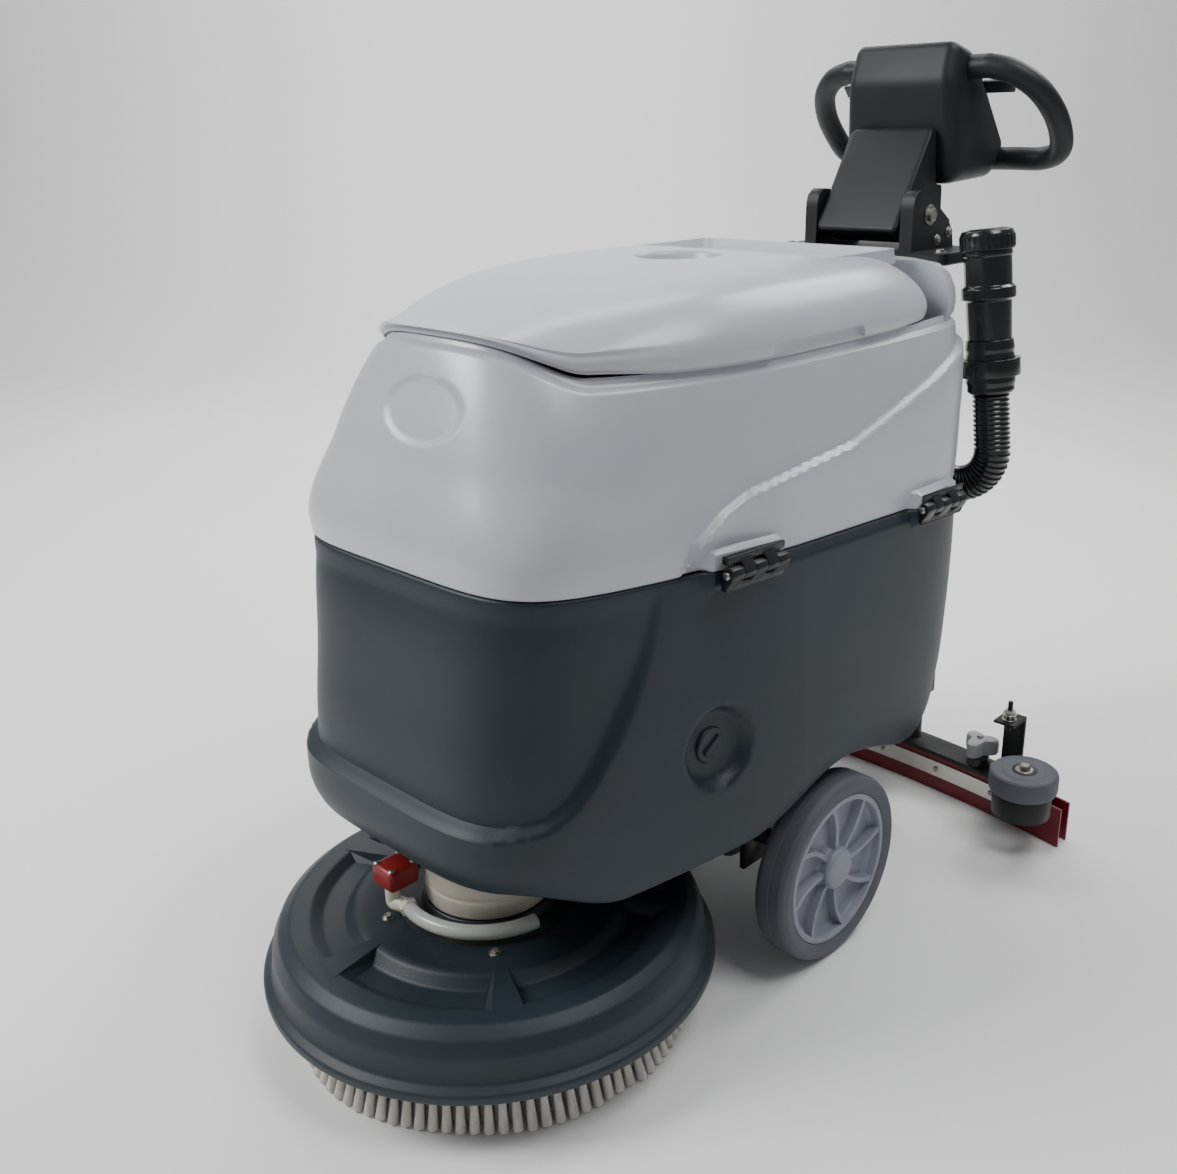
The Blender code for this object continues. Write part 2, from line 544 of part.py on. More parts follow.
# ---------------------------------------------------------------- drain hose
def make_drain():
    """Drain hose of the recovery tank, from its spigot round to the capped end in its clip."""
    at = (HOSE_X, HOSE_Y, HOSE_TOP)
    lean = (0, -HOSE_LEAN, 0)
    cap = turned("drain_cap", "black_plastic", [(0.0, 0.222), (0.034, 0.222), (0.037, 0.216), (0.037, 0.1946),
                                                (0.0, 0.1946)], at, sides=24, closed=False)
    neck = turned("drain_neck", "black_plastic",
                  [(0.024, 0.1943), (0.033, 0.1943), (0.033, 0.146), (0.037, 0.144), (0.037, 0.130),
                   (0.031, 0.128), (0.030, 0.0746), (0.024, 0.0746)], at, sides=24)
    cuff = turned("drain_cuff", "black_plastic",
                  [(0.020, 0.0743), (0.032, 0.0743), (0.034, 0.054), (0.034, 0.004), (0.030, 0.0003),
                   (0.020, 0.0003)], at, sides=24)
    clip = turned("drain_clip", "black_plastic", [(0.0346, 0.048), (0.041, 0.048), (0.041, 0.024),
                                                  (0.0346, 0.024)], at, sides=24)
    for piece in (cap, neck, cuff, clip):
        piece.rotation_euler = lean
    foot = box("clip_foot", None, (HOSE_X - 0.016, TANK_REAR, 0.704), (HOSE_X - 0.002, HOSE_Y - 0.037, 0.718))
    combine(clip, [foot], "UNION")
    down = Vector((math.sin(HOSE_LEAN), 0, -math.cos(HOSE_LEAN)))
    route = [Vector(at) + down * d for d in (0.0, 0.03, 0.085)]
    knee = route[-1]
    reach = (knee.x - SPIGOT_X) / 2
    for k in range(1, 13):
        angle = -HOSE_LEAN + (math.pi + HOSE_LEAN) * k / 12
        level = knee.z + (SPIGOT_Z - knee.z) * k / 12
        route.append(Vector((SPIGOT_X + reach * (1 + math.cos(angle)), HOSE_Y, level - reach * math.sin(angle))))
    route.append(Vector((SPIGOT_X, HOSE_Y, SPIGOT_Z + 0.010)))
    tube("drain_hose", "black_plastic", route, HOSE_R, 2)
    spigot = rod("drain_spigot", "black_plastic", (SPIGOT_X, TANK_REAR, SPIGOT_Z + 0.040), 0.022, HOSE_Y - TANK_REAR, "Y", 16)
    drop = rod("spigot_drop", None, (SPIGOT_X, HOSE_Y, SPIGOT_Z + 0.0103), 0.0255, 0.054, "Z", 16)
    combine(spigot, [drop], "UNION")


# ---------------------------------------------------------------- squeegee
def arc_y(x, offset=0.0):
    """Plan curve of the squeegee."""
    return BLADE_Y + offset - x * x / (2 * BLADE_BOW)


def arc_strip(name, finish, half, low, high, front, back, steps=12):
    """A bar that follows the squeegee's curve."""
    bm = bmesh.new()
    rows = []
    for i in range(steps + 1):
        x = -half + 2 * half * i / steps
        corners = ((front, low), (back, low), (back, high), (front, high))
        rows.append([bm.verts.new((x, arc_y(x, y), z)) for y, z in corners])
    for near, far in zip(rows, rows[1:]):
        for i in range(4):
            j = (i + 1) % 4
            bm.faces.new((near[i], near[j], far[j], far[i]))
    bm.faces.new(rows[0])
    bm.faces.new(rows[-1])
    bmesh.ops.recalc_face_normals(bm, faces=bm.faces)
    return place(bm, name, finish)


def make_squeegee():
    """Lift arm, curved frame with its stud brackets and suction port, two blades, straps, knobs, rollers."""
    arm = box("squeegee_arm", "black_steel", (-0.045, ARM_Y, 0.135), (0.045, SWIVEL_Y + 0.03, 0.150))
    barrel = rod("arm_barrel", None, (-0.0615, ARM_Y, ARM_Z), 0.012, 0.123, "X", 16)
    pin = rod("arm_pin", None, (-0.078, ARM_Y, ARM_Z), 0.006, 0.156, "X", 12)
    combine(arm, [barrel, pin], "UNION")
    frame = arc_strip("squeegee_frame", "black_steel", 0.345, 0.064, 0.072, -0.024, 0.024)
    extras = [arc_strip("frame_web", None, 0.340, 0.020, 0.066, -0.0115, 0.0115),
              rod("swivel_boss", None, (0, SWIVEL_Y, 0.07), 0.022, 0.0647, "Z", 16),
              rod("suction_port", None, (0.090, 0.468, 0.068), 0.020, 0.055, "Z", 20)]
    for side in (-1, 1):
        low, high = sorted((side * 0.310, side * 0.345))
        extras.append(box("roller_shelf", None, (low, ROLLER_Y, 0.0645), (high, 0.445, 0.0715)))
        extras.append(rod("roller_guard", None, (side * ROLLER_X, ROLLER_Y, 0.060), 0.043, 0.036, "Z", 20))
        extras.append(rod("roller_pin", None, (side * ROLLER_X, ROLLER_Y, 0.09), 0.006, 0.048, "Z", 10))
        low, high = sorted((side * 0.258, side * 0.292))
        extras += [box("bracket_stand", None, (low, 0.462, 0.068), (high, 0.467, 0.170)),
                   box("bracket_shelf", None, (low, 0.424, 0.166), (high, 0.466, 0.1701)),
                   rod("bracket_stud", None, (side * 0.275, 0.442, 0.150), 0.004, 0.050, "Z", 8),
                   rod("bracket_nut", None, (side * 0.275, 0.442, 0.169), 0.008, 0.008, "Z", 6)]
    combine(frame, extras, "UNION")
    combine(frame, [rod("port_bore", None, (0.090, 0.468, 0.076), 0.016, 0.06, "Z", 20)], "DIFFERENCE")
    for name, front, back in (("front", -0.0155, -0.0118), ("rear", 0.0118, 0.0155)):
        arc_strip("squeegee_blade_" + name, "red_rubber", BLADE_HALF, 0.0, 0.0637, front, back)
        front, back = (-0.0180, -0.0158) if name == "front" else (0.0158, 0.0180)
        arc_strip("squeegee_strap_" + name, "steel", 0.300, 0.026, 0.052, front, back)
    for side, name in ((1, "left"), (-1, "right")):
        x = side * 0.225
        base = rod("squeegee_knob_" + name, "knob_plastic", (x, arc_y(x) - 0.004, 0.0723), 0.018, 0.046, "Z", 12)
        lobes = []
        for k in range(3):
            angle = math.radians(90 + 120 * k)
            at = (x + 0.020 * math.cos(angle), arc_y(x) - 0.004 + 0.020 * math.sin(angle), 0.092)
            lobes.append(rod("lobe", None, at, 0.010, 0.024, "Z", 10))
        combine(base, lobes, "UNION")
        turned("guard_roller_" + name, "tyre_rubber",
               [(0.0066, 0.130), (0.046, 0.130), (ROLLER_R, 0.126), (ROLLER_R, 0.100), (0.046, 0.0965),
                (0.0066, 0.0965)], (side * ROLLER_X, ROLLER_Y, 0), sides=24)


def make_levers():
    """Foot pedal that lifts the brush deck, and lever that lifts the squeegee."""
    pedal = box("deck_pedal", "black_steel", (-0.200, 0.315, 0.216), (-0.180, 0.440, 0.226))
    pad = box("pedal_pad", None, (-0.222, 0.420, 0.2165), (-0.158, 0.480, 0.2295))
    pivot = rod("pedal_pivot", None, (-0.200, 0.325, 0.221), 0.010, 0.0347, "X", 12)
    combine(pedal, [pad, pivot], "UNION")
    lever = box("squeegee_lever", "black_steel", (-0.110, 0.4083, 0.235), (-0.098, 0.420, 0.420))
    combine(lever, [rod("lever_knob", None, (-0.104, 0.414, 0.40), 0.013, 0.045, "Z", 12),
                    rod("lever_pivot", None, (-0.118, 0.4143, 0.245), 0.0055, 0.026, "X", 10)], "UNION")


make_solution_tank()
make_recovery_tank()
make_lid()
make_batteries()
make_vacuum()
make_hinges()
make_chassis()
make_drive()
make_deck()
make_water_feed()
make_handle_mount()
make_handle()
make_drain()
make_squeegee()
make_levers()
print("parts:", len(PARTS.objects))
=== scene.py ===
# %% [markdown]
# # Walk-behind floor scrubber
# The CAD model already fixes every size, joint and collision shape. This notebook gives each part
# its look: finer shells, real edge radii, fasteners, bristles and procedural materials. Each piece
# is built in place, in the same frame as the CAD, and then rides on the CAD body that it belongs to.

import json
import math

import bmesh
import bpy
import numpy as np
from mathutils import Matrix, Quaternion, Vector


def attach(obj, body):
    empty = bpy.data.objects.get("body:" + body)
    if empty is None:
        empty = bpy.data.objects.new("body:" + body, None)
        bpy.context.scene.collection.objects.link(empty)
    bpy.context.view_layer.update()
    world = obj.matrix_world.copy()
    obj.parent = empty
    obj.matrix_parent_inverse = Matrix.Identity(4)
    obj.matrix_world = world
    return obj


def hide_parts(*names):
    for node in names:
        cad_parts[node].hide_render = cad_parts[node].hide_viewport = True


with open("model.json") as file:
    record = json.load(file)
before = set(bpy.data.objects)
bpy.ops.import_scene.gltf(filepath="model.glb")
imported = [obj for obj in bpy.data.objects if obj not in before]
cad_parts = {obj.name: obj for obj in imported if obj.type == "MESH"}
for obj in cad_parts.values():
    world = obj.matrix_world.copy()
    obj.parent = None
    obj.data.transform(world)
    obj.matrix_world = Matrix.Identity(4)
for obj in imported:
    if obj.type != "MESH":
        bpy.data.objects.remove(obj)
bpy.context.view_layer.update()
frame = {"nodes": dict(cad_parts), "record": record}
BODY_OF = {node: body for body, nodes in frame["record"]["behaviour"]["bodies"].items() for node in nodes}
LOOKS = bpy.data.collections.new("looks")
bpy.context.scene.collection.children.link(LOOKS)
SIDES = ((1, "left"), (-1, "right"))


# %% [markdown]
# ## Materials
# A material here is a small recipe. A slow cloud of noise drifts the colour and the roughness, as
# real mouldings and castings do, and a fine grain drives the bump. Patterns are sized in real
# millimetres on Object coordinates, so the grain of a knob matches the grain of the tank beside it.

# %% Material recipe
def linear(code):
    """A #rrggbb colour as the linear values that the shaders use."""
    parts = [int(code[i:i + 2], 16) / 255 for i in (1, 3, 5)]
    return tuple(c / 12.92 if c <= 0.04045 else ((c + 0.055) / 1.055) ** 2.4 for c in parts) + (1.0,)


def add(tree, kind, values, **settings):
    """Add a shader node. A value is either a constant or an output socket to link from."""
    made = tree.nodes.new("ShaderNode" + kind)
    for key, value in settings.items():
        setattr(made, key, value)
    for key, value in values.items():
        if isinstance(value, bpy.types.NodeSocket):
            tree.links.new(value, made.inputs[key])
        else:
            made.inputs[key].default_value = value
    return made


def finish(name, dark, light, rough, grain_mm, bump_mm, metallic=0.0, patch_mm=70.0, stretch=(1, 1, 1),
           pebble=False, dust=0.0, **principled):
    """A procedural finish between two shades, with a grain of a real size."""
    made = bpy.data.materials.new(name)
    made.use_nodes = True
    tree = made.node_tree
    shader = tree.nodes["Principled BSDF"]
    where = add(tree, "TexCoord", {}).outputs["Object"]
    grained = add(tree, "Mapping", {"Vector": where, "Scale": stretch}).outputs["Vector"]
    cloud = add(tree, "TexNoise", {"Vector": grained, "Scale": 1000 / patch_mm, "Detail": 5.0}).outputs["Fac"]
    spread = add(tree, "MapRange", {"Value": cloud, "From Min": 0.3, "From Max": 0.7}).outputs["Result"]
    color = add(tree, "Mix", {0: spread, 6: linear(dark), 7: linear(light)}, data_type="RGBA").outputs[2]
    if dust:
        height = add(tree, "SeparateXYZ", {"Vector": where}).outputs["Z"]
        low = add(tree, "MapRange", {"Value": height, "From Min": 0.16, "From Max": 0.0,
                                     "To Max": dust}).outputs["Result"]
        amount = add(tree, "Math", {0: low, 1: spread}, operation="MULTIPLY").outputs[0]
        color = add(tree, "Mix", {0: amount, 6: color, 7: linear("#9b958a")}, data_type="RGBA").outputs[2]
    tree.links.new(color, shader.inputs["Base Color"])
    uneven = add(tree, "MapRange", {"Value": cloud, "To Min": rough - 0.06, "To Max": rough + 0.08})
    tree.links.new(uneven.outputs["Result"], shader.inputs["Roughness"])
    if pebble:
        grain = add(tree, "TexVoronoi", {"Vector": grained, "Scale": 1000 / grain_mm},
                    feature="SMOOTH_F1").outputs["Distance"]
    else:
        grain = add(tree, "TexNoise", {"Vector": grained, "Scale": 1000 / grain_mm,
                                       "Detail": 2.0}).outputs["Fac"]
    bump = add(tree, "Bump", {"Height": grain, "Distance": bump_mm / 1000, "Strength": 0.7})
    tree.links.new(bump.outputs["Normal"], shader.inputs["Normal"])
    shader.inputs["Metallic"].default_value = metallic
    for key, value in principled.items():
        shader.inputs[key.replace("_", " ")].default_value = value
    return made


SLATE = finish("slate shell", "#1a252c", "#202c34", 0.46, 1.5, 0.20, pebble=True, patch_mm=240.0, dust=0.06,
               Specular_IOR_Level=0.4)
PEARL = finish("pearl grey shell", "#b3b6bd", "#babdc3", 0.30, 2.6, 0.05, pebble=True, patch_mm=160.0,
               Coat_Weight=0.25, Coat_Roughness=0.22, Specular_IOR_Level=0.6)
BLACK = finish("black moulding", "#111214", "#1a1b1e", 0.38, 0.7, 0.03, Specular_IOR_Level=0.5)
CHARCOAL = finish("charcoal moulding", "#16191b", "#1c2021", 0.46, 1.1, 0.10, pebble=True,
                  Specular_IOR_Level=0.35)
POWDER = finish("black powder coat", "#0c0d0e", "#121314", 0.46, 1.8, 0.06, dust=0.03,
                Specular_IOR_Level=0.35)
GLOSSY = finish("glossy black hose", "#0c0d0e", "#131416", 0.22, 3.0, 0.04, Coat_Weight=0.3)
STEEL = finish("stainless steel", "#a9a7a2", "#c6c4be", 0.27, 0.5, 0.02, metallic=1.0, stretch=(0.04, 1, 1))
ZINC = finish("zinc plated steel", "#96958f", "#bab8b0", 0.34, 0.6, 0.02, metallic=1.0, patch_mm=9.0)
BRASS = finish("brass", "#9a7b3e", "#b8964f", 0.30, 0.5, 0.02, metallic=1.0, patch_mm=9.0)
TYRE = finish("grey tyre rubber", "#4a4e55", "#53575f", 0.62, 1.3, 0.10, dust=0.15)
HUB = finish("lavender grey nylon", "#7b7f8c", "#898d99", 0.40, 1.0, 0.04, Subsurface_Weight=0.03)
BRISTLE = finish("bristles", "#bdb9b0", "#e6e3db", 0.62, 0.6, 0.30, stretch=(1, 1, 0.05), patch_mm=9.0,
                 dust=0.12)
IVORY = finish("ivory moulding", "#cfc9b8", "#dcd7c8", 0.36, 1.0, 0.03, Subsurface_Weight=0.05)
CLEAR = finish("milky tube", "#cfd2cc", "#e2e4de", 0.22, 0.9, 0.02, Transmission_Weight=0.35,
               Subsurface_Weight=0.1)
RED_RUBBER = finish("red blade rubber", "#6a0f1e", "#7c1527", 0.42, 1.0, 0.05)
RED = finish("red moulding", "#7c1a1b", "#8f2422", 0.34, 1.0, 0.03)
KNOB = finish("grey knob nylon", "#8b8e93", "#999ca0", 0.40, 0.8, 0.05)
CASE = finish("battery case", "#17181a", "#222427", 0.48, 1.4, 0.10, pebble=True)
ENAMEL = finish("dark enamel", "#292b2e", "#35383b", 0.40, 2.2, 0.10, metallic=0.2, dust=0.1)
PALE = finish("pale membrane", "#8f9396", "#9da1a4", 0.44, 0.8, 0.02)
GREEN = finish("green lens", "#1d6b34", "#278343", 0.16, 1.0, 0.01, Coat_Weight=0.6)
AMBER = finish("amber lens", "#a8741c", "#c08a2a", 0.16, 1.0, 0.01, Coat_Weight=0.6)
print("materials:", len(bpy.data.materials))


# %% [markdown]
# ## Shape helpers
# Four helpers cover nearly every part: a lathe for turned parts, a prism for parts cut from a side
# outline, a pipe for anything that follows a route, and a skin over a stack of rings for the tanks.
# A real moulding never has a knife edge, so outlines pass through `rounded` before they are used.

# %% Shape helpers
def show(bm, name, material, crease=35):
    """Turn a bmesh into a shown piece, smooth but for its real edges."""
    bmesh.ops.recalc_face_normals(bm, faces=bm.faces)
    mesh = bpy.data.meshes.new(name)
    bm.to_mesh(mesh)
    bm.free()
    mesh.shade_smooth()
    mesh.set_sharp_from_angle(angle=math.radians(crease))
    mesh.materials.append(material)
    piece = bpy.data.objects.new(name, mesh)
    LOOKS.objects.link(piece)
    return piece


def stands_for(piece, *nodes):
    """The piece takes the place of these CAD nodes and moves with their body."""
    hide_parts(*nodes)
    return goes_with(piece, nodes[0])


def goes_with(piece, node):
    """The piece is added to a CAD node and moves with its body."""
    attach(piece, BODY_OF[node])
    return piece


def rounded(points, radius, closed=True, steps=4):
    """Round the corners of an outline or a route."""
    found = []
    for i, point in enumerate(points):
        here = Vector(point)
        if not closed and i in (0, len(points) - 1):
            found.append(here)
            continue
        before, after = Vector(points[i - 1]) - here, Vector(points[(i + 1) % len(points)]) - here
        reach = min(radius, 0.45 * before.length, 0.45 * after.length)
        start, end = here + before.normalized() * reach, here + after.normalized() * reach
        for k in range(steps + 1):
            t = k / steps
            found.append(start * (1 - t) ** 2 + here * (2 * t * (1 - t)) + end * t ** 2)
    return found


def skin(rings, loop=False):
    """A bmesh over a stack of rings of equal length. The first and last are capped unless it loops."""
    bm = bmesh.new()
    rows = [[bm.verts.new(point) for point in ring] for ring in rings]
    pairs = list(zip(rows, rows[1:])) + ([(rows[-1], rows[0])] if loop else [])
    for low, high in pairs:
        for i in range(len(low)):
            j = (i + 1) % len(low)
            bm.faces.new((low[i], low[j], high[j], high[i]))
    if not loop:
        bm.faces.new(rows[0])
        bm.faces.new(rows[-1])
    return bm


def bevel_edges(bm, width, segments=3, angle=32):
    """Round every edge that is sharper than the angle."""
    sharp = [e for e in bm.edges if len(e.link_faces) == 2 and e.calc_face_angle(0.0) > math.radians(angle)]
    bmesh.ops.bevel(bm, geom=sharp, offset=width, segments=segments, profile=0.5, affect="EDGES",
                    clamp_overlap=False)
    return bm


def block(size, at=(0, 0, 0), turn=Matrix()):
    """A plain block, moved and then turned, for a cutter or a small repeated part."""
    bm = bmesh.new()
    bmesh.ops.create_cube(bm, size=1.0, matrix=turn @ Matrix.Translation(at) @ Matrix.Diagonal((*size, 1)))
    return bm


def lathe(name, material, profile, at=(0, 0, 0), axis=(0, 0, 1), sides=96, round_mm=1.0, closed=True):
    """A profile of (radius, height) points turned round an axis. An open profile starts and ends on it."""
    profile = rounded(profile, round_mm / 1000, closed)
    turn = Vector((0, 0, 1)).rotation_difference(Vector(axis)).to_matrix()
    bm = bmesh.new()
    rows = []
    for radius, height in profile:
        if radius < 1e-5:
            rows.append([bm.verts.new(Vector(at) + turn @ Vector((0, 0, height)))] * sides)
            continue
        angles = [2 * math.pi * k / sides for k in range(sides)]
        rows.append([bm.verts.new(Vector(at) + turn
                                  @ Vector((radius * math.cos(a), radius * math.sin(a), height)))
                     for a in angles])
    pairs = list(zip(rows, rows[1:])) + ([(rows[-1], rows[0])] if closed else [])
    for low, high in pairs:
        for i in range(sides):
            j = (i + 1) % sides
            corners = list(dict.fromkeys((low[i], low[j], high[j], high[i])))
            bm.faces.new(corners)
    return show(bm, name, material)


def prism(name, material, outline, low_x, high_x, round_mm=3.0, edge_mm=1.5):
    """A side outline of (y, z) points with rounded corners, extruded across and softened at its ends."""
    outline = rounded(outline, round_mm / 1000)
    bm = skin([[(x, y, z) for y, z in outline] for x in (low_x, high_x)])
    caps = [f for f in bm.faces if len(f.verts) > 4]
    rim = list({e for f in caps for e in f.edges})
    bmesh.ops.bevel(bm, geom=rim, offset=edge_mm / 1000, segments=3, profile=0.5, affect="EDGES")
    return show(bm, name, material)


def rounded_box(name, low, high, material=PEARL, flare=0.0, corner=0.016, grow=0.0):
    """A box with rounded upright corners, wider towards its top, with a flare at the lip."""
    rings = []
    for t, wider in ((0.0, 0.0), (0.12, 0.0015), (0.80, grow), (0.86, grow + flare * 0.15),
                     (0.93, grow + flare * 0.5), (1.0, grow + flare)):
        z = low[2] + (high[2] - low[2]) * t
        x0, x1, y0, y1 = low[0] - wider, high[0] + wider, low[1] - wider, high[1] + wider
        ring = rounded([(x0, y0, z), (x1, y0, z), (x1, y1, z), (x0, y1, z)], corner, steps=8)
        rings.append(ring)
    return show(skin(rings), name, material)


def smooth_route(points, steps):
    """Points on a Catmull-Rom curve through the given ones."""
    route = [Vector(p) for p in points]
    ends = [route[0] * 2 - route[1]] + route + [route[-1] * 2 - route[-2]]
    found = []
    for i in range(1, len(ends) - 2):
        a, b, c, d = ends[i - 1:i + 3]
        for k in range(steps):
            t = k / steps
            found.append(0.5 * ((2 * b) + (c - a) * t + (2 * a - 5 * b + 4 * c - d) * t ** 2
                                + (3 * b - a - 3 * c + d) * t ** 3))
    return found + [route[-1]]


def frames_along(route):
    """A turn for each point of a route that carries +Z along it without twisting."""
    turns, turn = [], None
    for i in range(len(route)):
        ahead = (route[min(i + 1, len(route) - 1)] - route[max(i - 1, 0)]).normalized()
        step = (Vector((0, 0, 1)) if turn is None else turn @ Vector((0, 0, 1))).rotation_difference(ahead)
        turn = step if turn is None else step @ turn
        turns.append(turn)
    return turns


def pipe(name, material, route, radius, sides=32):
    """A round bar along a route, with softly rounded ends."""
    turns = frames_along(route)
    sizes = [(0, radius * 0.86), (0, radius)] + [(i, radius) for i in range(1, len(route) - 1)]
    sizes += [(len(route) - 1, radius), (len(route) - 1, radius * 0.86)]
    rings = []
    for n, (i, size) in enumerate(sizes):
        slip = {1: 0.08, len(sizes) - 2: -0.08}.get(n, 0.0) * radius
        rings.append([route[i] + turns[i] @ Vector((size * math.cos(2 * math.pi * k / sides),
                                                    size * math.sin(2 * math.pi * k / sides), slip))
                      for k in range(sides)])
    return show(skin(rings), name, material)


def softened(node, material, edge_mm=1.0, segments=2):
    """A CAD node's own shape with its edges rounded, standing in for the node."""
    source = frame["nodes"][node]
    bm = bmesh.new()
    bm.from_mesh(source.data)
    bm.transform(source.matrix_world)
    bmesh.ops.remove_doubles(bm, verts=bm.verts, dist=2e-5)
    bmesh.ops.dissolve_limit(bm, angle_limit=math.radians(1), verts=bm.verts, edges=bm.edges)
    bevel_edges(bm, edge_mm / 1000, segments)
    return stands_for(show(bm, "soft_" + node, material), node)


def carve(piece, cutter, operation="DIFFERENCE"):
    """Join a shape to a piece or cut it away, and keep the result as a plain mesh."""
    step = piece.modifiers.new("carve", "BOOLEAN")
    step.operation, step.solver, step.object = operation, "EXACT", cutter
    bpy.context.view_layer.update()
    result = bpy.data.meshes.new_from_object(piece.evaluated_get(bpy.context.evaluated_depsgraph_get()))
    piece.modifiers.clear()
    piece.data = result
    bpy.data.objects.remove(cutter, do_unlink=True)
    result.shade_smooth()
    result.set_sharp_from_angle(angle=math.radians(35))
    return piece


# %% [markdown]
# ## A repeater in Geometry Nodes
# Bristle tufts, screws, ribs, hose rings and spokes are all the same idea: one small shape placed
# many times. This node group puts a shape on every point of a mesh, turned and sized by two
# attributes that the points carry, then makes the copies real and gives them their material.

# %% Geometry Nodes repeater
def make_repeater():
    """Build the node group once."""
    group = bpy.data.node_groups.new("repeat_on_points", "GeometryNodeTree")
    face = group.interface
    face.new_socket("Points", in_out="INPUT", socket_type="NodeSocketGeometry")
    face.new_socket("Shape", in_out="INPUT", socket_type="NodeSocketObject")
    face.new_socket("Material", in_out="INPUT", socket_type="NodeSocketMaterial")
    face.new_socket("Geometry", in_out="OUTPUT", socket_type="NodeSocketGeometry")
    entry, leave = group.nodes.new("NodeGroupInput"), group.nodes.new("NodeGroupOutput")
    shape = group.nodes.new("GeometryNodeObjectInfo")
    copies = group.nodes.new("GeometryNodeInstanceOnPoints")
    real = group.nodes.new("GeometryNodeRealizeInstances")
    paint = group.nodes.new("GeometryNodeSetMaterial")
    join = group.links.new
    join(entry.outputs["Points"], copies.inputs["Points"])
    join(entry.outputs["Shape"], shape.inputs["Object"])
    join(shape.outputs["Geometry"], copies.inputs["Instance"])
    for name, kind, target in (("turn", "FLOAT_VECTOR", "Rotation"), ("size", "FLOAT_VECTOR", "Scale")):
        reader = group.nodes.new("GeometryNodeInputNamedAttribute")
        reader.data_type = kind
        reader.inputs["Name"].default_value = name
        value = next(s for s in reader.outputs if s.enabled and s.name == "Attribute")
        join(value, copies.inputs[target])
    join(copies.outputs["Instances"], real.inputs["Geometry"])
    join(real.outputs["Geometry"], paint.inputs["Geometry"])
    join(entry.outputs["Material"], paint.inputs["Material"])
    join(paint.outputs["Geometry"], leave.inputs["Geometry"])
    return group


REPEATER = make_repeater()


def facing(direction, spin=0.0):
    """A turn that points +Z along a direction, with a spin about it."""
    return Vector(direction).to_track_quat("Z", "Y") @ Quaternion((0, 0, 1), spin)


def repeat(name, material, shape, places, node):
    """Copies of a shape at (position, turn, size) places, added to a CAD node. The shape is used up."""
    mesh = bpy.data.meshes.new(name)
    mesh.from_pydata([tuple(p) for p, turn, size in places], [], [])
    turns = mesh.attributes.new("turn", "FLOAT_VECTOR", "POINT")
    turns.data.foreach_set("vector", [c for p, turn, size in places for c in turn.to_euler()])
    sizes = mesh.attributes.new("size", "FLOAT_VECTOR", "POINT")
    sizes.data.foreach_set("vector", [c for p, turn, size in places
                                      for c in (size if isinstance(size, tuple) else (size,) * 3)])
    holder = bpy.data.objects.new(name, mesh)
    LOOKS.objects.link(holder)
    step = holder.modifiers.new("repeat", "NODES")
    step.node_group = REPEATER
    for socket in REPEATER.interface.items_tree:
        if socket.name == "Shape":
            step[socket.identifier] = shape
        elif socket.name == "Material":
            step[socket.identifier] = material
    bpy.context.view_layer.update()
    result = bpy.data.meshes.new_from_object(holder.evaluated_get(bpy.context.evaluated_depsgraph_get()))
    holder.modifiers.clear()
    holder.data = result
    bpy.data.objects.remove(shape, do_unlink=True)
    return goes_with(holder, node)


def hex_bolt(across=0.010, height=0.005, washer=0.008):
    """A hexagon head on a washer, for the repeater."""
    corner = across / 2 / math.cos(math.pi / 6)
    head = [[(corner * s * math.cos(a), corner * s * math.sin(a), z)
             for a in [math.pi * k / 3 for k in range(6)]]
            for s, z in ((1, 0.001), (1, height * 0.85), (0.88, height))]
    bm = skin(head)
    disc = skin([[(washer * math.cos(a) * s, washer * math.sin(a) * s, z)
                  for a in [2 * math.pi * k / 28 for k in range(28)]]
                 for s, z in ((1, 0.0), (1, 0.001), (0.95, 0.0014))])
    extra = bpy.data.meshes.new("washer")
    disc.to_mesh(extra)
    disc.free()
    bm.from_mesh(extra)
    return show(bm, "hex_bolt", ZINC, 25)


def dome_screw(radius=0.0045, height=0.0025):
    """A round head with a cross recess, for the repeater."""
    screw = lathe("dome_screw", ZINC, [(0, height), (radius * 0.55, height * 0.92),
                                       (radius * 0.9, height * 0.5), (radius, 0.0), (0, 0)], sides=24,
                  round_mm=0.3, closed=False)
    for a in (0.0, math.pi / 2):
        turn = Matrix.Translation((0, 0, height)) @ Matrix.Rotation(a, 4, "Z")
        carve(screw, show(block((radius * 1.1, radius * 0.22, height), turn=turn), "slot", ZINC))
    return screw


print("repeater inputs:", [s.name for s in REPEATER.interface.items_tree if s.in_out == "INPUT"])


# %% [markdown]
# ## The two tanks
# Both tanks are rotationally moulded shells. Each is a stack of horizontal outlines: a squarish
# superellipse that is narrow at the nose and full behind the wheels. The stack is dense enough that
# shallow features can be pressed straight into it: the blank oval badge, the swoosh along the side,
# the ridge round the front, the dish of the drain plug and the pads under the hinges.

# %% Body outlines
BODY_Y, WALL, GAP = -0.09, 0.006, 0.0003
HINGE_YS = (-0.188, 0.205)
HINGE_X = 0.266
PLUG = (-0.232, 0.379)


def ease(value):
    """Smooth step from 0 to 1."""
    t = np.clip(value, 0.0, 1.0)
    return t * t * (3 - 2 * t)


def width_at(y):
    """Half the body's width, narrow at the nose and full behind the wheels."""
    return 0.228 + 0.029 * ease((y + 0.42) / 0.35)


def seam_z(y):
    """Height of the seam between the two tanks, which falls towards the back."""
    return 0.5775 - 0.05 * y


def skirt_z(y):
    """Height of the lower tank's bottom edge, arched over the wheels and raised at the nose."""
    arch = np.cos(np.minimum(np.abs(y) / 0.19, 1.0) * np.pi / 2) ** 2
    return 0.235 + 0.041 * arch + 0.042 * ease((-0.36 - y) / 0.13)


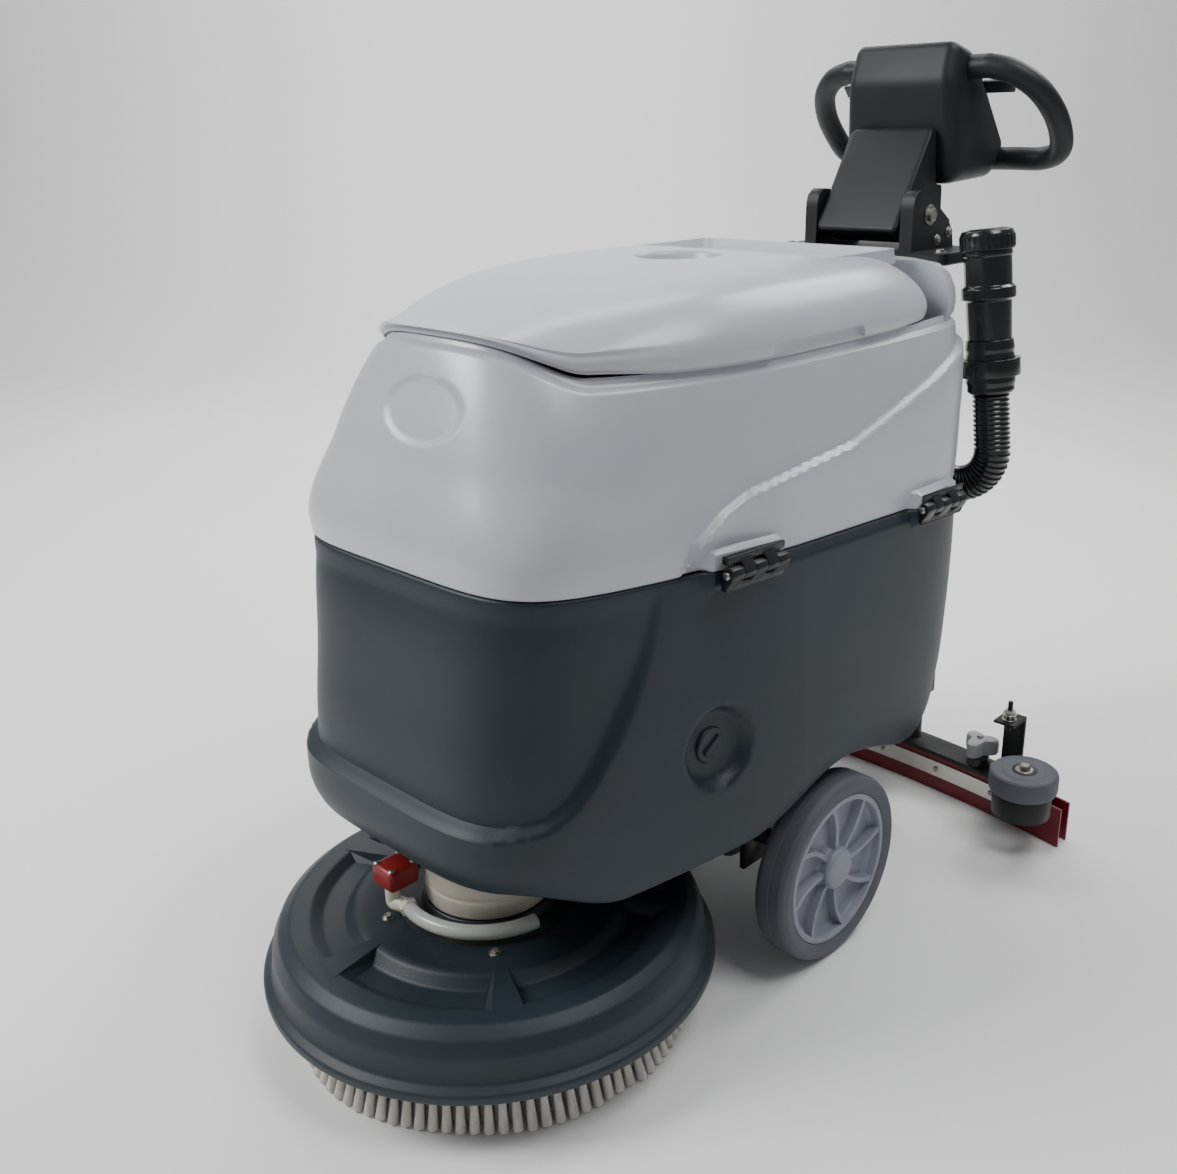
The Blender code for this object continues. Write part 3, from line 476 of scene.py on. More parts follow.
def rim_z(y):
    """Height of the upper tank's rim, raised at the nose."""
    return 0.800 + 0.042 * ease((-0.335 - y) / 0.09)


def crown_z(y):
    """Height of the lid's crown."""
    return 0.842 + 0.036 * ease((y + 0.45) / 0.28) + 0.008 * ease((y + 0.24) / 0.20)


def outline(front, rear, squareness, scale=1.0, inset=0.0, quarter=120):
    """One horizontal outline, its points evenly spaced along each quarter."""
    found = []
    for k in range(4):
        angle = np.linspace(k * np.pi / 2, (k + 1) * np.pi / 2, 1200)
        along, across = np.sin(angle), np.cos(angle)
        power, reach = (squareness, BODY_Y - front - inset) if k >= 2 else (6.0, rear - BODY_Y - inset)
        y = BODY_Y + reach * np.sign(along) * np.abs(along) ** (2 / power)
        x = (width_at(y) * scale - inset) * np.sign(across) * np.abs(across) ** (2 / power)
        gone = np.concatenate([[0], np.cumsum(np.hypot(np.diff(x), np.diff(y)))])
        want = np.linspace(0, gone[-1], quarter, endpoint=False)
        found.append(np.column_stack([np.interp(want, gone, x), np.interp(want, gone, y)]))
    return np.concatenate(found)


def pressed(flat, z, depth):
    """A ring at heights z, pushed inwards by a depth at each point."""
    ahead = np.roll(flat, -1, axis=0) - np.roll(flat, 1, axis=0)
    ahead /= np.linalg.norm(ahead, axis=1)[:, None]
    inwards = np.column_stack([-ahead[:, 1], ahead[:, 0]])
    return np.column_stack([flat + inwards * np.asarray(depth)[..., None], z])


def level_at(levels, share):
    """A body level's numbers at any share of the height, on a smooth curve through the table."""
    table = np.array(levels)
    shares, values = table[:, 0], table[:, 1:]
    slopes = np.gradient(values, shares, axis=0)
    i = int(min(max(np.searchsorted(shares, share, "right") - 1, 0), len(shares) - 2))
    step = shares[i + 1] - shares[i]
    t = (share - shares[i]) / step
    return ((2 * t ** 3 - 3 * t ** 2 + 1) * values[i] + (t ** 3 - 2 * t ** 2 + t) * step * slopes[i]
            + (3 * t ** 2 - 2 * t ** 3) * values[i + 1] + (t ** 3 - t ** 2) * step * slopes[i + 1])


def wall_rings(levels, low, high, relief, count=84, edge=0.004):
    """The outside of a tank from its lower to its upper edge, with rounded edges and its relief."""
    ends = np.array([0.0, 0.0015, 0.004, 0.008, 0.0125, 0.018])
    rings = []
    for share in np.concatenate([ends, np.linspace(0.026, 0.974, count), 1 - ends[::-1]]):
        front, rear, power, scale = level_at(levels, share)
        flat = outline(front, rear, power, scale)
        y = flat[:, 1]
        z = low(y) + (high(y) - low(y)) * share
        near = np.minimum(z - low(y), high(y) - z) / edge
        tuck = edge * (1 - np.sqrt(1 - np.clip(1 - near, 0, 1) ** 2))
        rings.append(pressed(flat, z, tuck + relief(flat[:, 0], y, z)))
    return rings


def hinge_pads(x, y, z):
    """1 on the two raised pads that carry the hinges on the left side."""
    near = sum(ease((0.058 - np.abs(y - at)) / 0.006) for at in HINGE_YS)
    return near * ease((0.025 - np.abs(z - seam_z(y))) / 0.006) * (x > 0)


def upper_relief(x, y, z):
    """Blank oval badge, swoosh that swells out below its line, tucked rim and hinge pads."""
    badge = ease((1 - ((x - 0.02) / 0.062) ** 2 - ((z - 0.766) / 0.034) ** 2) / 0.20) * (y < -0.3)
    line = np.interp(y, (-0.285, -0.265, -0.225, -0.183, -0.09, 0.005, 0.274, 0.352),
                     (0.590, 0.628, 0.654, 0.669, 0.680, 0.688, 0.756, 0.778))
    start = ease((line - z) / 0.007) * ease((y + 0.288) / 0.012) * ease((np.abs(x) - 0.15) / 0.05)
    fall = ease((line - z) / (line - seam_z(y) + 0.002))
    lip = ease((z - rim_z(y) + 0.014) / 0.006)
    pad = hinge_pads(x, y, z)
    return (0.0026 * badge + 0.006 * lip + start * (0.015 * fall - 0.009)) * (1 - pad) - 0.0066 * pad


def dish(x, y, z):
    """The recess round the drain plug."""
    away = np.hypot(y - PLUG[0], z - PLUG[1])
    return 0.014 * ease((0.052 - away) / 0.014) * (x > 0)


def lower_relief(x, y, z):
    """Ridge round the front, ledge under the seam, plug dish and hinge pads."""
    ridge = np.interp(y, (-0.50, -0.455, -0.43, -0.40, -0.37, -0.345, -0.325, -0.312, -0.303),
                      (0.345, 0.352, 0.366, 0.392, 0.424, 0.462, 0.505, 0.550, 0.640))
    soft = 0.013 + 0.022 * ease((y + 0.42) / 0.07)
    panel = ease((z - ridge) / soft) * (1 - 0.75 * ease((z - 0.44) / 0.15))
    panel *= 1 - 0.3 * ease((np.abs(x) - 0.17) / 0.05)
    panel *= 1 - ease((z - seam_z(y) + 0.03) / 0.03)
    ledge = ease((z - seam_z(y) + 0.014) / 0.014) * ease((y + 0.14) / 0.02) * ease((0.158 - y) / 0.02)
    return (0.016 * panel + 0.007 * ledge * (np.abs(x) > 0.2) + dish(x, y, z)
            - 0.0068 * hinge_pads(x, y, z))


# Each level: its share of the height, its front and rear in y, its squareness and its share of the width.
LOWER_LEVELS = ((0.0, -0.513, 0.272, 4.4, 1.03), (0.06, -0.521, 0.285, 4.4, 1.045),
                (0.22, -0.5215, 0.308, 4.6, 1.050), (0.50, -0.512, 0.334, 4.9, 1.03),
                (0.75, -0.496, 0.348, 5.0, 1.012), (1.0, -0.476, 0.352, 5.2, 1.0))
UPPER_LEVELS = ((0.0, -0.477, 0.350, 5.2, 1.0), (0.06, -0.480, 0.352, 5.2, 1.005),
                (0.5, -0.452, 0.352, 3.8, 0.975), (1.0, -0.406, 0.346, 2.65, 0.924))
SEAM, RIM = LOWER_LEVELS[-1][1:], UPPER_LEVELS[-1][1:]


def inner_rings(start, end, low, high, relief=None, count=14):
    """The inside of a tank between two sections, given as (front, rear, squareness, scale)."""
    rings = []
    for t in np.linspace(0, 1, count):
        mixed = [a + (b - a) * t for a, b in zip(start, end)]
        flat = outline(*mixed, inset=WALL)
        y = flat[:, 1]
        z = low(y) + (high(y) - low(y)) * t
        rings.append(pressed(flat, z, relief(flat[:, 0], y, z) if relief else np.zeros(len(y))))
    return rings


# %% Lower tank: solution tank and battery bay
under = outline(-0.500, 0.272, 5.0, inset=WALL)
rings = [pressed(under, np.full(len(under), 0.300), np.zeros(len(under))),
         pressed(under, skirt_z(under[:, 1]) + 0.002, np.zeros(len(under)))]
rings += wall_rings(LOWER_LEVELS, skirt_z, lambda y: seam_z(y) - GAP, lower_relief)
rings += inner_rings(SEAM, (-0.500, 0.300, 5.0, 1.0), lambda y: seam_z(y) - GAP,
                     lambda y: np.full(len(y), 0.306), dish)
stands_for(show(skin(rings), "solution_tank_shell", SLATE), "solution_tank")

plug = lathe("side_plug_turned", SLATE, [(0, 0.024), (0.0205, 0.024), (0.0225, 0.022), (0.0225, 0.0185),
                                         (0.0273, 0.0185), (0.0273, 0.0), (0, 0)], (0.2165, *PLUG), (1, 0, 0),
             72, 0.8, False)
stands_for(plug, "side_plug")
bar = show(bevel_edges(block((0.005, 0.030, 0.0065)), 0.0012), "bar", SLATE)
repeat("side_plug_bar", SLATE, bar,
       [((0.2418, *PLUG), Quaternion((1, 0, 0), 0.5), 1.0)], "side_plug")
print("solution tank:", len(rings), "rings")

# %% Upper tank: recovery tank
rings = wall_rings(UPPER_LEVELS, seam_z, rim_z, upper_relief)
rings += inner_rings(RIM, (-0.476, 0.350, 5.2, 1.0), rim_z,
                     lambda y: seam_z(y) + WALL)
stands_for(show(skin(rings), "recovery_tank_shell", PEARL), "recovery_tank")
flat = outline(*RIM)
rings = [np.column_stack([flat[:, 0] * s, BODY_Y + (flat[:, 1] - BODY_Y) * s, np.full(len(flat), z)])
         for s, z in ((0.97, 0.786), (0.996, 0.800), (1.0, 0.812), (0.995, 0.830), (0.975, 0.848),
                      (0.94, 0.860), (0.88, 0.866))]
deck = show(skin(rings), "recovery_rear_deck", PEARL)
keep = rounded_box("rear_part", (-0.30, 0.2545, 0.70), (0.30, 0.40, 0.95), corner=0.002)
goes_with(carve(deck, keep, "INTERSECT"), "recovery_tank")
print("recovery tank:", len(rings), "rings")

# %% [markdown]
# ## The lid
# The lid is a soft dome over the rim. Its rings shrink towards the middle while they rise onto the
# crown. Two wells, a round one for a cup and a wide one for small tools, are joined under the dome
# first and then hollowed from above, so that they have floors. A small flare rounds each lip, and a
# shallow notch in the left edge gives the fingers a hold.

# %% Lid
LID_REAR = 0.250


def lid_ring(shrink, lift, sink=0.0):
    """One ring of the lid, shrunk towards the middle and lifted onto the crown."""
    flat = outline(RIM[0], LID_REAR, *RIM[2:], quarter=96)
    nose = ease((-0.24 - flat[:, 1]) / 0.10)
    shrink = shrink - 0.014 * nose * ease((shrink - 0.995) / 0.015)
    x, y = flat[:, 0] * shrink, BODY_Y + (flat[:, 1] - BODY_Y) * shrink
    base = rim_z(flat[:, 1]) + 0.003 + 0.005 * nose
    return np.column_stack([x, y, base + (crown_z(y) - base) * lift - sink])


profile = smooth_route([(1.016, 0.03, 0), (1.018, 0.20, 0), (0.990, 0.42, 0), (0.93, 0.65, 0),
                        (0.85, 0.83, 0), (0.72, 0.945, 0), (0.5, 0.998, 0), (0.15, 1.0, 0), (0.02, 1.0, 0)],
                       7)
rings = [lid_ring(max(p.x, 0.02) * 0.97, min(p.y, 1.0), 0.008 if k else 0.0)
         for k, p in reversed(list(enumerate(profile[::4])))]
rings += [lid_ring(0.986, 0.0, 0.004), lid_ring(0.988, 0.0), lid_ring(1.010, 0.0)]
rings += [lid_ring(p.x, min(p.y, 1.0)) for p in profile[1:]]
lid = show(skin(rings), "lid_dome", PEARL)
carve(lid, rounded_box("tray_well", (-0.160, 0.062, 0.862), (0.160, 0.235, 0.8822)), "UNION")
carve(lid, lathe("cup_well", PEARL, [(0, 0.8822), (0.062, 0.8822), (0.062, 0.860), (0, 0.860)],
                 (0.0, -0.012, 0.0), closed=False), "UNION")
carve(lid, rounded_box("tray_hollow", (-0.148, 0.074, 0.870), (0.148, 0.222, 0.8872), flare=0.004,
                       grow=0.008))
carve(lid, lathe("cup_hollow", PEARL, [(0, 0.93), (0.058, 0.93), (0.058, 0.8872), (0.0545, 0.885),
                                       (0.0525, 0.882), (0.0480, 0.867), (0, 0.867)], (0.0, -0.012, 0.0),
                 closed=False, round_mm=2.0))
notch = [(-0.138, 0.790), (-0.126, 0.8165), (0.036, 0.8165), (0.048, 0.790)]
carve(lid, prism("notch", PEARL, notch, 0.2352, 0.27, 6.0))
stands_for(lid, "lid")
print("lid:", len(lid.data.polygons), "faces")

# %% [markdown]
# ## Inside the tanks
# These parts show only when the lid or the upper tank is opened: two batteries with terminals in
# the bay, and the suction motor and float cage that stand in the recovery tank.

# %% Batteries, suction motor, float cage
posts = []
for node, low_y in (("battery_front", -0.29), ("battery_rear", -0.08)):
    softened(node, CASE, 5.0, 3)
    top = rounded_box(node + "_cover", (-0.150, low_y + 0.014, 0.5195), (0.150, low_y + 0.166, 0.5245), CASE,
                      corner=0.008)
    goes_with(top, node)
    posts += [((x, low_y + 0.035, 0.524), Quaternion(), 1.0) for x in (-0.12, 0.12)]
repeat("battery_terminals", BRASS, hex_bolt(0.013, 0.014, 0.012), posts, "battery_front")
base = float(seam_z(-0.28)) + WALL + 0.004
motor = lathe("vacuum_motor_case", ENAMEL, [(0, 0.092), (0.030, 0.092), (0.034, 0.089), (0.055, 0.088),
                                            (0.069, 0.077), (0.069, 0.056), (0.064, 0.052), (0.064, 0.044),
                                            (0.069, 0.040), (0.069, 0.028), (0.050, 0.001), (0, 0.001)],
              (0, -0.28, base), closed=False, round_mm=2.0)
stands_for(motor, "vacuum_motor")
base = float(seam_z(0.05)) + WALL + 0.003
cage = lathe("float_cage_frame", BLACK, [(0, 0.139), (0.028, 0.139), (0.030, 0.136), (0.030, 0.126),
                                         (0.024, 0.124), (0.026, 0.018), (0.034, 0.015), (0.034, 0.001),
                                         (0, 0.001)], (0, 0.05, base), closed=False)
stands_for(cage, "float_cage")
bar = show(bevel_edges(block((0.006, 0.004, 0.115), (0.029, 0, 0.07)), 0.0008), "bar", BLACK)
repeat("float_cage_bars", BLACK, bar,
       [((0, 0.05, base), Quaternion((0, 0, 1), math.pi * k / 6), 1.0) for k in range(12)], "float_cage")

# %% [markdown]
# ## Hinges
# The moulded hinges keep their CAD knuckles, with softened edges and a steel pin end at each side.

# %% Hinges
for leaf in ("lower", "upper"):
    for where in ("front", "rear"):
        softened("hinge_%s_%s" % (leaf, where), BLACK, 1.2, 3)
for where, y in zip(("front", "rear"), HINGE_YS):
    ends = [((HINGE_X, y + dy, float(seam_z(y + dy))), facing((0, dy, 0)), 1.0) for dy in (-0.0525, 0.0525)]
    repeat("hinge_pin_ends_" + where, ZINC, dome_screw(0.0046, 0.0022), ends, "hinge_lower_" + where)


# %% [markdown]
# ## Brush deck
# The round cover has a flat ring with bolts, a channel with radial ribs, a rounded shoulder and a
# stepped lip. The motor stands in its middle, with the water feed curving round its front.

# %% Brush deck and motor
DECK = (0.0, -0.370, 0.0)
cover = [(0.115, 0.150), (0.157, 0.150), (0.165, 0.1478), (0.177, 0.1350), (0.204, 0.1350), (0.219, 0.1450),
         (0.243, 0.1445), (0.2575, 0.134), (0.2655, 0.117), (0.2685, 0.089), (0.2800, 0.0815),
         (0.2800, 0.070), (0.2640, 0.070), (0.2595, 0.117), (0.2430, 0.1340), (0.176, 0.1310),
         (0.156, 0.1462), (0.115, 0.1462)]
stands_for(lathe("deck_cover_turned", SLATE, cover, DECK, sides=160, round_mm=3.5), "deck_cover")
bm = skin([[(0.153, -0.013, 0.1335), (0.153, 0.013, 0.1335), (0.234, 0.034, 0.1335), (0.234, -0.030, 0.1335)],
           [(0.154, -0.007, 0.1502), (0.154, 0.006, 0.1502), (0.224, 0.019, 0.1452),
            (0.224, -0.017, 0.1452)]])
repeat("deck_ribs", SLATE, show(bevel_edges(bm, 0.0022, 4), "rib", SLATE),
       [(DECK, Quaternion((0, 0, 1), math.radians(a)), 1.0) for a in (-168, -96, -36, 38, 110)], "deck_cover")
repeat("deck_bolts", ZINC, hex_bolt(0.009, 0.005, 0.007),
       [((0.130 * math.cos(a), DECK[1] + 0.130 * math.sin(a), 0.1500), Quaternion((0, 0, 1), a), 1.0)
        for a in [math.radians(-110 + 72 * k) for k in range(5)]], "deck_cover")
gear = [(0, 0.1575), (0.080, 0.1575), (0.085, 0.1459), (0.142, 0.1459), (0.142, 0.139), (0.09, 0.139),
        (0.06, 0.105), (0, 0.105)]
stands_for(lathe("gear_case_turned", ENAMEL, gear, DECK, round_mm=2.0, closed=False), "gear_case")
barrel = [(0, 0.246), (0.030, 0.246), (0.033, 0.2435), (0.066, 0.2435), (0.0765, 0.238), (0.078, 0.230),
          (0.078, 0.186), (0.0765, 0.1845), (0.0765, 0.181), (0.078, 0.1795), (0.078, 0.1578), (0, 0.1578)]
stands_for(lathe("brush_motor_case", IVORY, barrel, DECK, sides=128, round_mm=3.0, closed=False),
           "brush_motor")
repeat("brush_motor_screws", ZINC, dome_screw(0.0045, 0.0022),
       [((0.055 * math.cos(a), DECK[1] + 0.055 * math.sin(a), 0.2432), Quaternion(), 1.0)
        for a in [math.radians(45 + 90 * k) for k in range(4)]], "brush_motor")
softened("brush_driver", BLACK, 1.5)

# %% Water feed
VALVE_X, VALVE_Y = -0.057, -0.4665
softened("water_valve", RED, 1.5, 3)
repeat("water_valve_screws", ZINC, dome_screw(0.0042, 0.0024),
       [((VALVE_X + sx * 0.0145, VALVE_Y + sy * 0.016, 0.2098), Quaternion(), 1.0)
        for sx in (-1, 1) for sy in (-1, 1)],
       "water_valve")
bend = [Vector((0.106 * math.cos(a), DECK[1] + 0.106 * math.sin(a), 0.1620))
        for a in np.radians(np.linspace(253, 350.5, 49))]
route = rounded([(-0.052, -0.477, 0.1812), (-0.052, -0.477, 0.1630), (-0.047, -0.4768, 0.1620), bend[0]
                 + (bend[0] - bend[1]) * 0.1],
                0.010, False, 6)
elbow = pipe("water_elbow_bend", IVORY, route, 0.0092)
stands_for(elbow, "water_elbow")
nut = lathe("water_elbow_nut", IVORY, [(0.006, 0.0), (0.0118, 0.0), (0.0118, 0.008), (0.0104, 0.0095),
                                       (0.006, 0.0095)],
            bend[0] - (bend[1] - bend[0]) * 0.6, bend[1] - bend[0], 6, 0.5)
goes_with(nut, "water_elbow")
stands_for(pipe("water_tube_bend", CLEAR, bend, 0.009), "water_tube")

# %% [markdown]
# ## Brush
# The brush is a black block with six rings of bristle tufts. Every tuft is one copy of a small
# flared bundle, and its lean grows towards the rim, as bristles do under the machine's weight. A
# short skirt of the same stuff behind them stands for the bristles in between.

# %% Brush block and tufts
plate = [(0, 0.0659), (0.228, 0.0659), (0.236, 0.060), (0.236, 0.0453), (0, 0.0453)]
stands_for(lathe("brush_block_turned", BLACK, plate, DECK, sides=128, round_mm=2.0, closed=False),
           "brush_block")
core = [(0.166, 0.0451), (0.206, 0.0451), (0.206, 0.010), (0.166, 0.010)]
stands_for(lathe("brush_core", BRISTLE, core, DECK, sides=128, round_mm=2.0), "brush_bristles")
tuft = show(skin([[(r * math.cos(2 * math.pi * k / 12), r * math.sin(2 * math.pi * k / 12), -z)
                   for k in range(12)]
                  for r, z in ((0.0034, -0.0005), (0.0040, 0.006), (0.0050, 0.022), (0.0062, 0.0435),
                               (0.0054, 0.0450))]), "tuft", BRISTLE)
tufts = []
for n in range(6):
    radius = 0.152 + 0.0162 * n
    count = int(2 * math.pi * radius / 0.0150)
    for k in range(count):
        a = 2 * math.pi * (k + 0.5 * (n % 2)) / count
        splay = (n - 2.2) / 3 * 0.30 + 0.05 * math.sin(k * 12.9898 + n * 78.233)
        turn = Quaternion((0, 0, 1), a) @ Quaternion((0, 1, 0), -splay)
        long = 0.99 / math.cos(splay) - 0.03 * abs(math.sin(k * 4.37 + n))
        tufts.append(((radius * math.cos(a), DECK[1] + radius * math.sin(a), 0.0452), turn, (1.0, 1.0, long)))
repeat("brush_tufts", BRISTLE, tuft, tufts, "brush_bristles")
print("tufts:", len(tufts))


# %% [markdown]
# ## Drive wheels
# A solid grey tyre sits on a moulded hub. The hub is a rim, a web and a boss with a domed cap, and
# eight curved spokes are placed round it by the repeater.

# %% Wheels
def spoke():
    """One curved spoke, standing on the hub's web, +Z away from the machine."""
    rings = []
    for k in range(9):
        t = k / 8
        radius, turn = 0.026 + 0.070 * t, 0.20 * t * t
        out = Vector((math.cos(turn), math.sin(turn), 0))
        side = Vector((-out.y, out.x, 0)) * (0.0062 - 0.0016 * math.sin(math.pi * t))
        top = 0.0405 + 0.0045 * t * t
        rings.append([out * radius - side + Vector((0, 0, 0.027)), out * radius + side
                      + Vector((0, 0, 0.027)), out * radius + side * 0.6 + Vector((0, 0, top)), out
                      * radius - side * 0.6 + Vector((0, 0, top))])
    return show(bevel_edges(skin(rings), 0.0012, 2), "spoke", HUB)


tread = [(0.1023, 0.046), (0.108, 0.0478), (0.117, 0.0497), (0.1235, 0.0465), (0.126, 0.040), (0.126, 0.0262),
         (0.1256, 0.0255), (0.1256, 0.0245), (0.126, 0.0238), (0.126, 0.010), (0.1235, 0.0035),
         (0.117, 0.0003), (0.108, 0.002), (0.1023, 0.004)]
disc = [(0.0125, 0.0475), (0.019, 0.0465), (0.027, 0.0435), (0.029, 0.034), (0.034, 0.030), (0.086, 0.030),
        (0.0925, 0.036), (0.0945, 0.0462), (0.102, 0.0462), (0.102, 0.006), (0.094, 0.006), (0.088, 0.024),
        (0.0125, 0.026)]
for side, name in SIDES:
    hub_at, out = (side * 0.231, -0.014, 0.126), (side, 0, 0)
    stands_for(lathe("tyre_" + name, TYRE, tread, hub_at, out, 160, 2.0), "wheel_tyre_" + name)
    stands_for(lathe("hub_" + name, HUB, disc, hub_at, out, 128, 1.5), "wheel_hub_" + name)
    repeat("spokes_" + name, HUB, spoke(), [(hub_at, facing(out, math.pi * k / 4), 1.0) for k in range(8)],
           "wheel_hub_" + name)
    cap = [(0, 0.0500), (0.014, 0.0496), (0.0245, 0.0480), (0.0282, 0.0440), (0.0282, 0.0330), (0, 0.0330)]
    goes_with(lathe("hub_cap_" + name, HUB, cap, hub_at, out, 64, 2.0, False), "wheel_hub_" + name)

# %% [markdown]
# ## Chassis and running gear
# Welded and turned steel parts keep their CAD shapes. A coat of powder paint rounds every edge, so
# each one gets a small bevel, and bolts mark where they are fixed.

# %% Chassis parts
for node, material, edge_mm in (("chassis_frame", POWDER, 0.9), ("rear_post", POWDER, 1.2),
                                ("deck_yoke", POWDER, 0.9), ("drive_transaxle", ENAMEL, 0.9),
                                ("squeegee_arm", POWDER, 0.9), ("deck_pedal", POWDER, 1.5),
                                ("squeegee_lever", POWDER, 1.0)):
    softened(node, material, edge_mm)
tread = show(bevel_edges(block((0.054, 0.004, 0.003)), 0.0008), "tread", BLACK)
repeat("pedal_treads", BLACK, tread,
       [((-0.19, 0.428 + 0.0085 * k, 0.2303), Quaternion(), 1.0) for k in range(6)], "deck_pedal")
repeat("post_bolts", ZINC, hex_bolt(0.013, 0.006, 0.011),
       [((x, 0.4022, z), facing((0, 1, 0)), 1.0) for x in (-0.026, 0.026) for z in (0.262, 0.300, 0.80)],
       "rear_post")
goes_with(lathe("lever_ball", BLACK, [(0, 0.464), (0.009, 0.461), (0.0155, 0.450), (0.0155, 0.438),
                                      (0.0135, 0.425), (0.013, 0.401), (0, 0.401)],
                (-0.104, 0.414, 0.0), sides=40, round_mm=3.0, closed=False), "squeegee_lever")


# %% [markdown]
# ## Handle
# The control head tips on an arm between two ears. The head is a prism with soft corners that
# narrows towards its top, and its ends roll over like a pillow. The two hand loops are swept tubes.

# %% Handle
def pillow(name, material, outline, half_x, edge_mm):
    """A side outline swept across, whose ends roll over in a large soft radius."""
    edge = edge_mm / 1000
    low, high = [Vector([pick(p[i] for p in outline) for i in range(2)]) for pick in (min, max)]
    middle, reach = (low + high) / 2, (high - low) / 2
    stations = [(-half_x + edge * (1 - math.cos(a)), edge * (1 - math.sin(a)))
                for a in np.linspace(0, math.pi / 2, 9)]
    stations += [(-x, inset) for x, inset in reversed(stations)]
    rings = [[(x, middle.x + (y - middle.x) * (1 - inset / reach.x), middle.y + (z - middle.y)
               * (1 - inset / reach.y))
              for y, z in outline] for x, inset in stations]
    return show(skin(rings), name, material, 50)


PIVOT = (0, 0.426, 0.910)
ear = [(0.380, 0.850), (0.381, 0.926), (0.388, 0.9440), (0.413, 0.9440), (0.489, 0.895), (0.499, 0.850)]
bracket = rounded_box("handle_bracket_plate", (-0.146, 0.376, 0.8463), (0.146, 0.502, 0.862), CHARCOAL,
                      corner=0.012)
for side in (-1, 1):
    carve(bracket, prism("ear", CHARCOAL, ear, *sorted((side * 0.071, side * 0.091)), 9.0, 4.0), "UNION")
stands_for(bracket, "handle_bracket")
ear_bolts = [((side * 0.0905, y, z), facing((side, 0, 0), y), 1.0) for side in (-1, 1) for y,
             z in ((0.450, 0.874), (0.481, 0.883))]
repeat("ear_bolts", ZINC, hex_bolt(0.009, 0.0045, 0.0075), ear_bolts, "handle_bracket")
softened("handle_pivot_bolt", ZINC, 0.5)
arm_outline = [(0.372, 0.889), (0.459, 1.026), (0.4720, 1.026), (0.4755, 0.996), (0.4826, 0.9475),
               (0.500, 0.9484), (0.502, 0.905), (0.485, 0.885), (0.430, 0.868)]
arm = pillow("handle_arm_body", CHARCOAL, rounded(arm_outline, 0.007), 0.068, 9.0)
carve(arm, lathe("arm_bore", CHARCOAL, [(0, 0.1), (0.0066, 0.1), (0.0066, -0.1), (0, -0.1)], PIVOT, (1, 0, 0),
                 32, 0.1, False))
stands_for(arm, "handle_arm")
repeat("ear_washers", ZINC, hex_bolt(0.015, 0.0062, 0.0145),
       [((side * 0.0912, *PIVOT[1:]), facing((side, 0, 0), 0.3), 1.0) for side in (-1, 1)],
       "handle_pivot_bolt")
repeat("bracket_bolts", ZINC, hex_bolt(0.011, 0.005, 0.009),
       [((x, y, 0.8620), Quaternion((0, 0, 1), 0.4 * x), 1.0) for x in (-0.128, 0.128)
        for y in (0.396, 0.482)], "handle_bracket")

head_outline = [(0.465, 1.090), (0.476, 0.996), (0.483, 0.948), (0.600, 0.955), (0.631, 0.992),
                (0.525, 1.130), (0.482, 1.142)]
head = pillow("control_head_body", CHARCOAL, rounded(head_outline, 0.012, steps=6), 0.095, 20.0)
PANEL_AT, TILT = Vector((0.0, 0.578, 1.061)), math.radians(-52.5)
NORMAL, ALONG = Vector((0, -math.sin(TILT), math.cos(TILT))), Vector((0, math.cos(TILT), math.sin(TILT)))
pocket = block((0.156, 0.136, 0.025), (0, 0, 0.0075), Matrix.Translation(PANEL_AT)
               @ Matrix.Rotation(TILT, 4, "X"))
carve(head, show(pocket, "pocket", CHARCOAL))
for vert in head.data.vertices:
    forward = float(ease((0.510 - vert.co.y) / 0.04))
    vert.co.x *= 1 - (0.06 * float(ease((vert.co.z - 1.02) / 0.12)) + 0.04
                      * forward) * (abs(vert.co.x) > 0.05)
stands_for(head, "control_head")

GRIP = [(0.0956, 0.518, 1.106), (0.108, 0.518, 1.106), (0.120, 0.5185, 1.1055), (0.150, 0.526, 1.097),
        (0.178, 0.545, 1.075), (0.192, 0.573, 1.044), (0.192, 0.602, 1.012), (0.182, 0.619, 0.990),
        (0.155, 0.626, 0.980), (0.115, 0.622, 0.980), (0.0956, 0.622, 0.980)]
for side, name in SIDES:
    route = smooth_route([(x * side, y, z) for x, y, z in GRIP], 9)
    route = [Vector((side * 0.072, 0.518, 1.106))] + route + [Vector((side * 0.072, 0.622, 0.980))]
    stands_for(pipe("grip_tube_" + name, CHARCOAL, route, 0.0165, 40), "grip_" + name)
    softened("trigger_" + name, BLACK, 1.3, 3)

# %% [markdown]
# ## Control panel
# A dark plate carries a start button, a key switch and a speed dial. The plate is left without any
# words: a pale blank membrane and three coloured lenses stand for its markings.

# %% Control panel
START_AT, KEY_AT, DIAL_AT = (-0.040, 0.020), (0.040, 0.020), (0.0, -0.030)


def on_panel(across, along, lift=0.0):
    """A point on the control panel, across it, up its slope and off its face."""
    return PANEL_AT + Vector((across, 0, 0)) + ALONG * along + NORMAL * lift


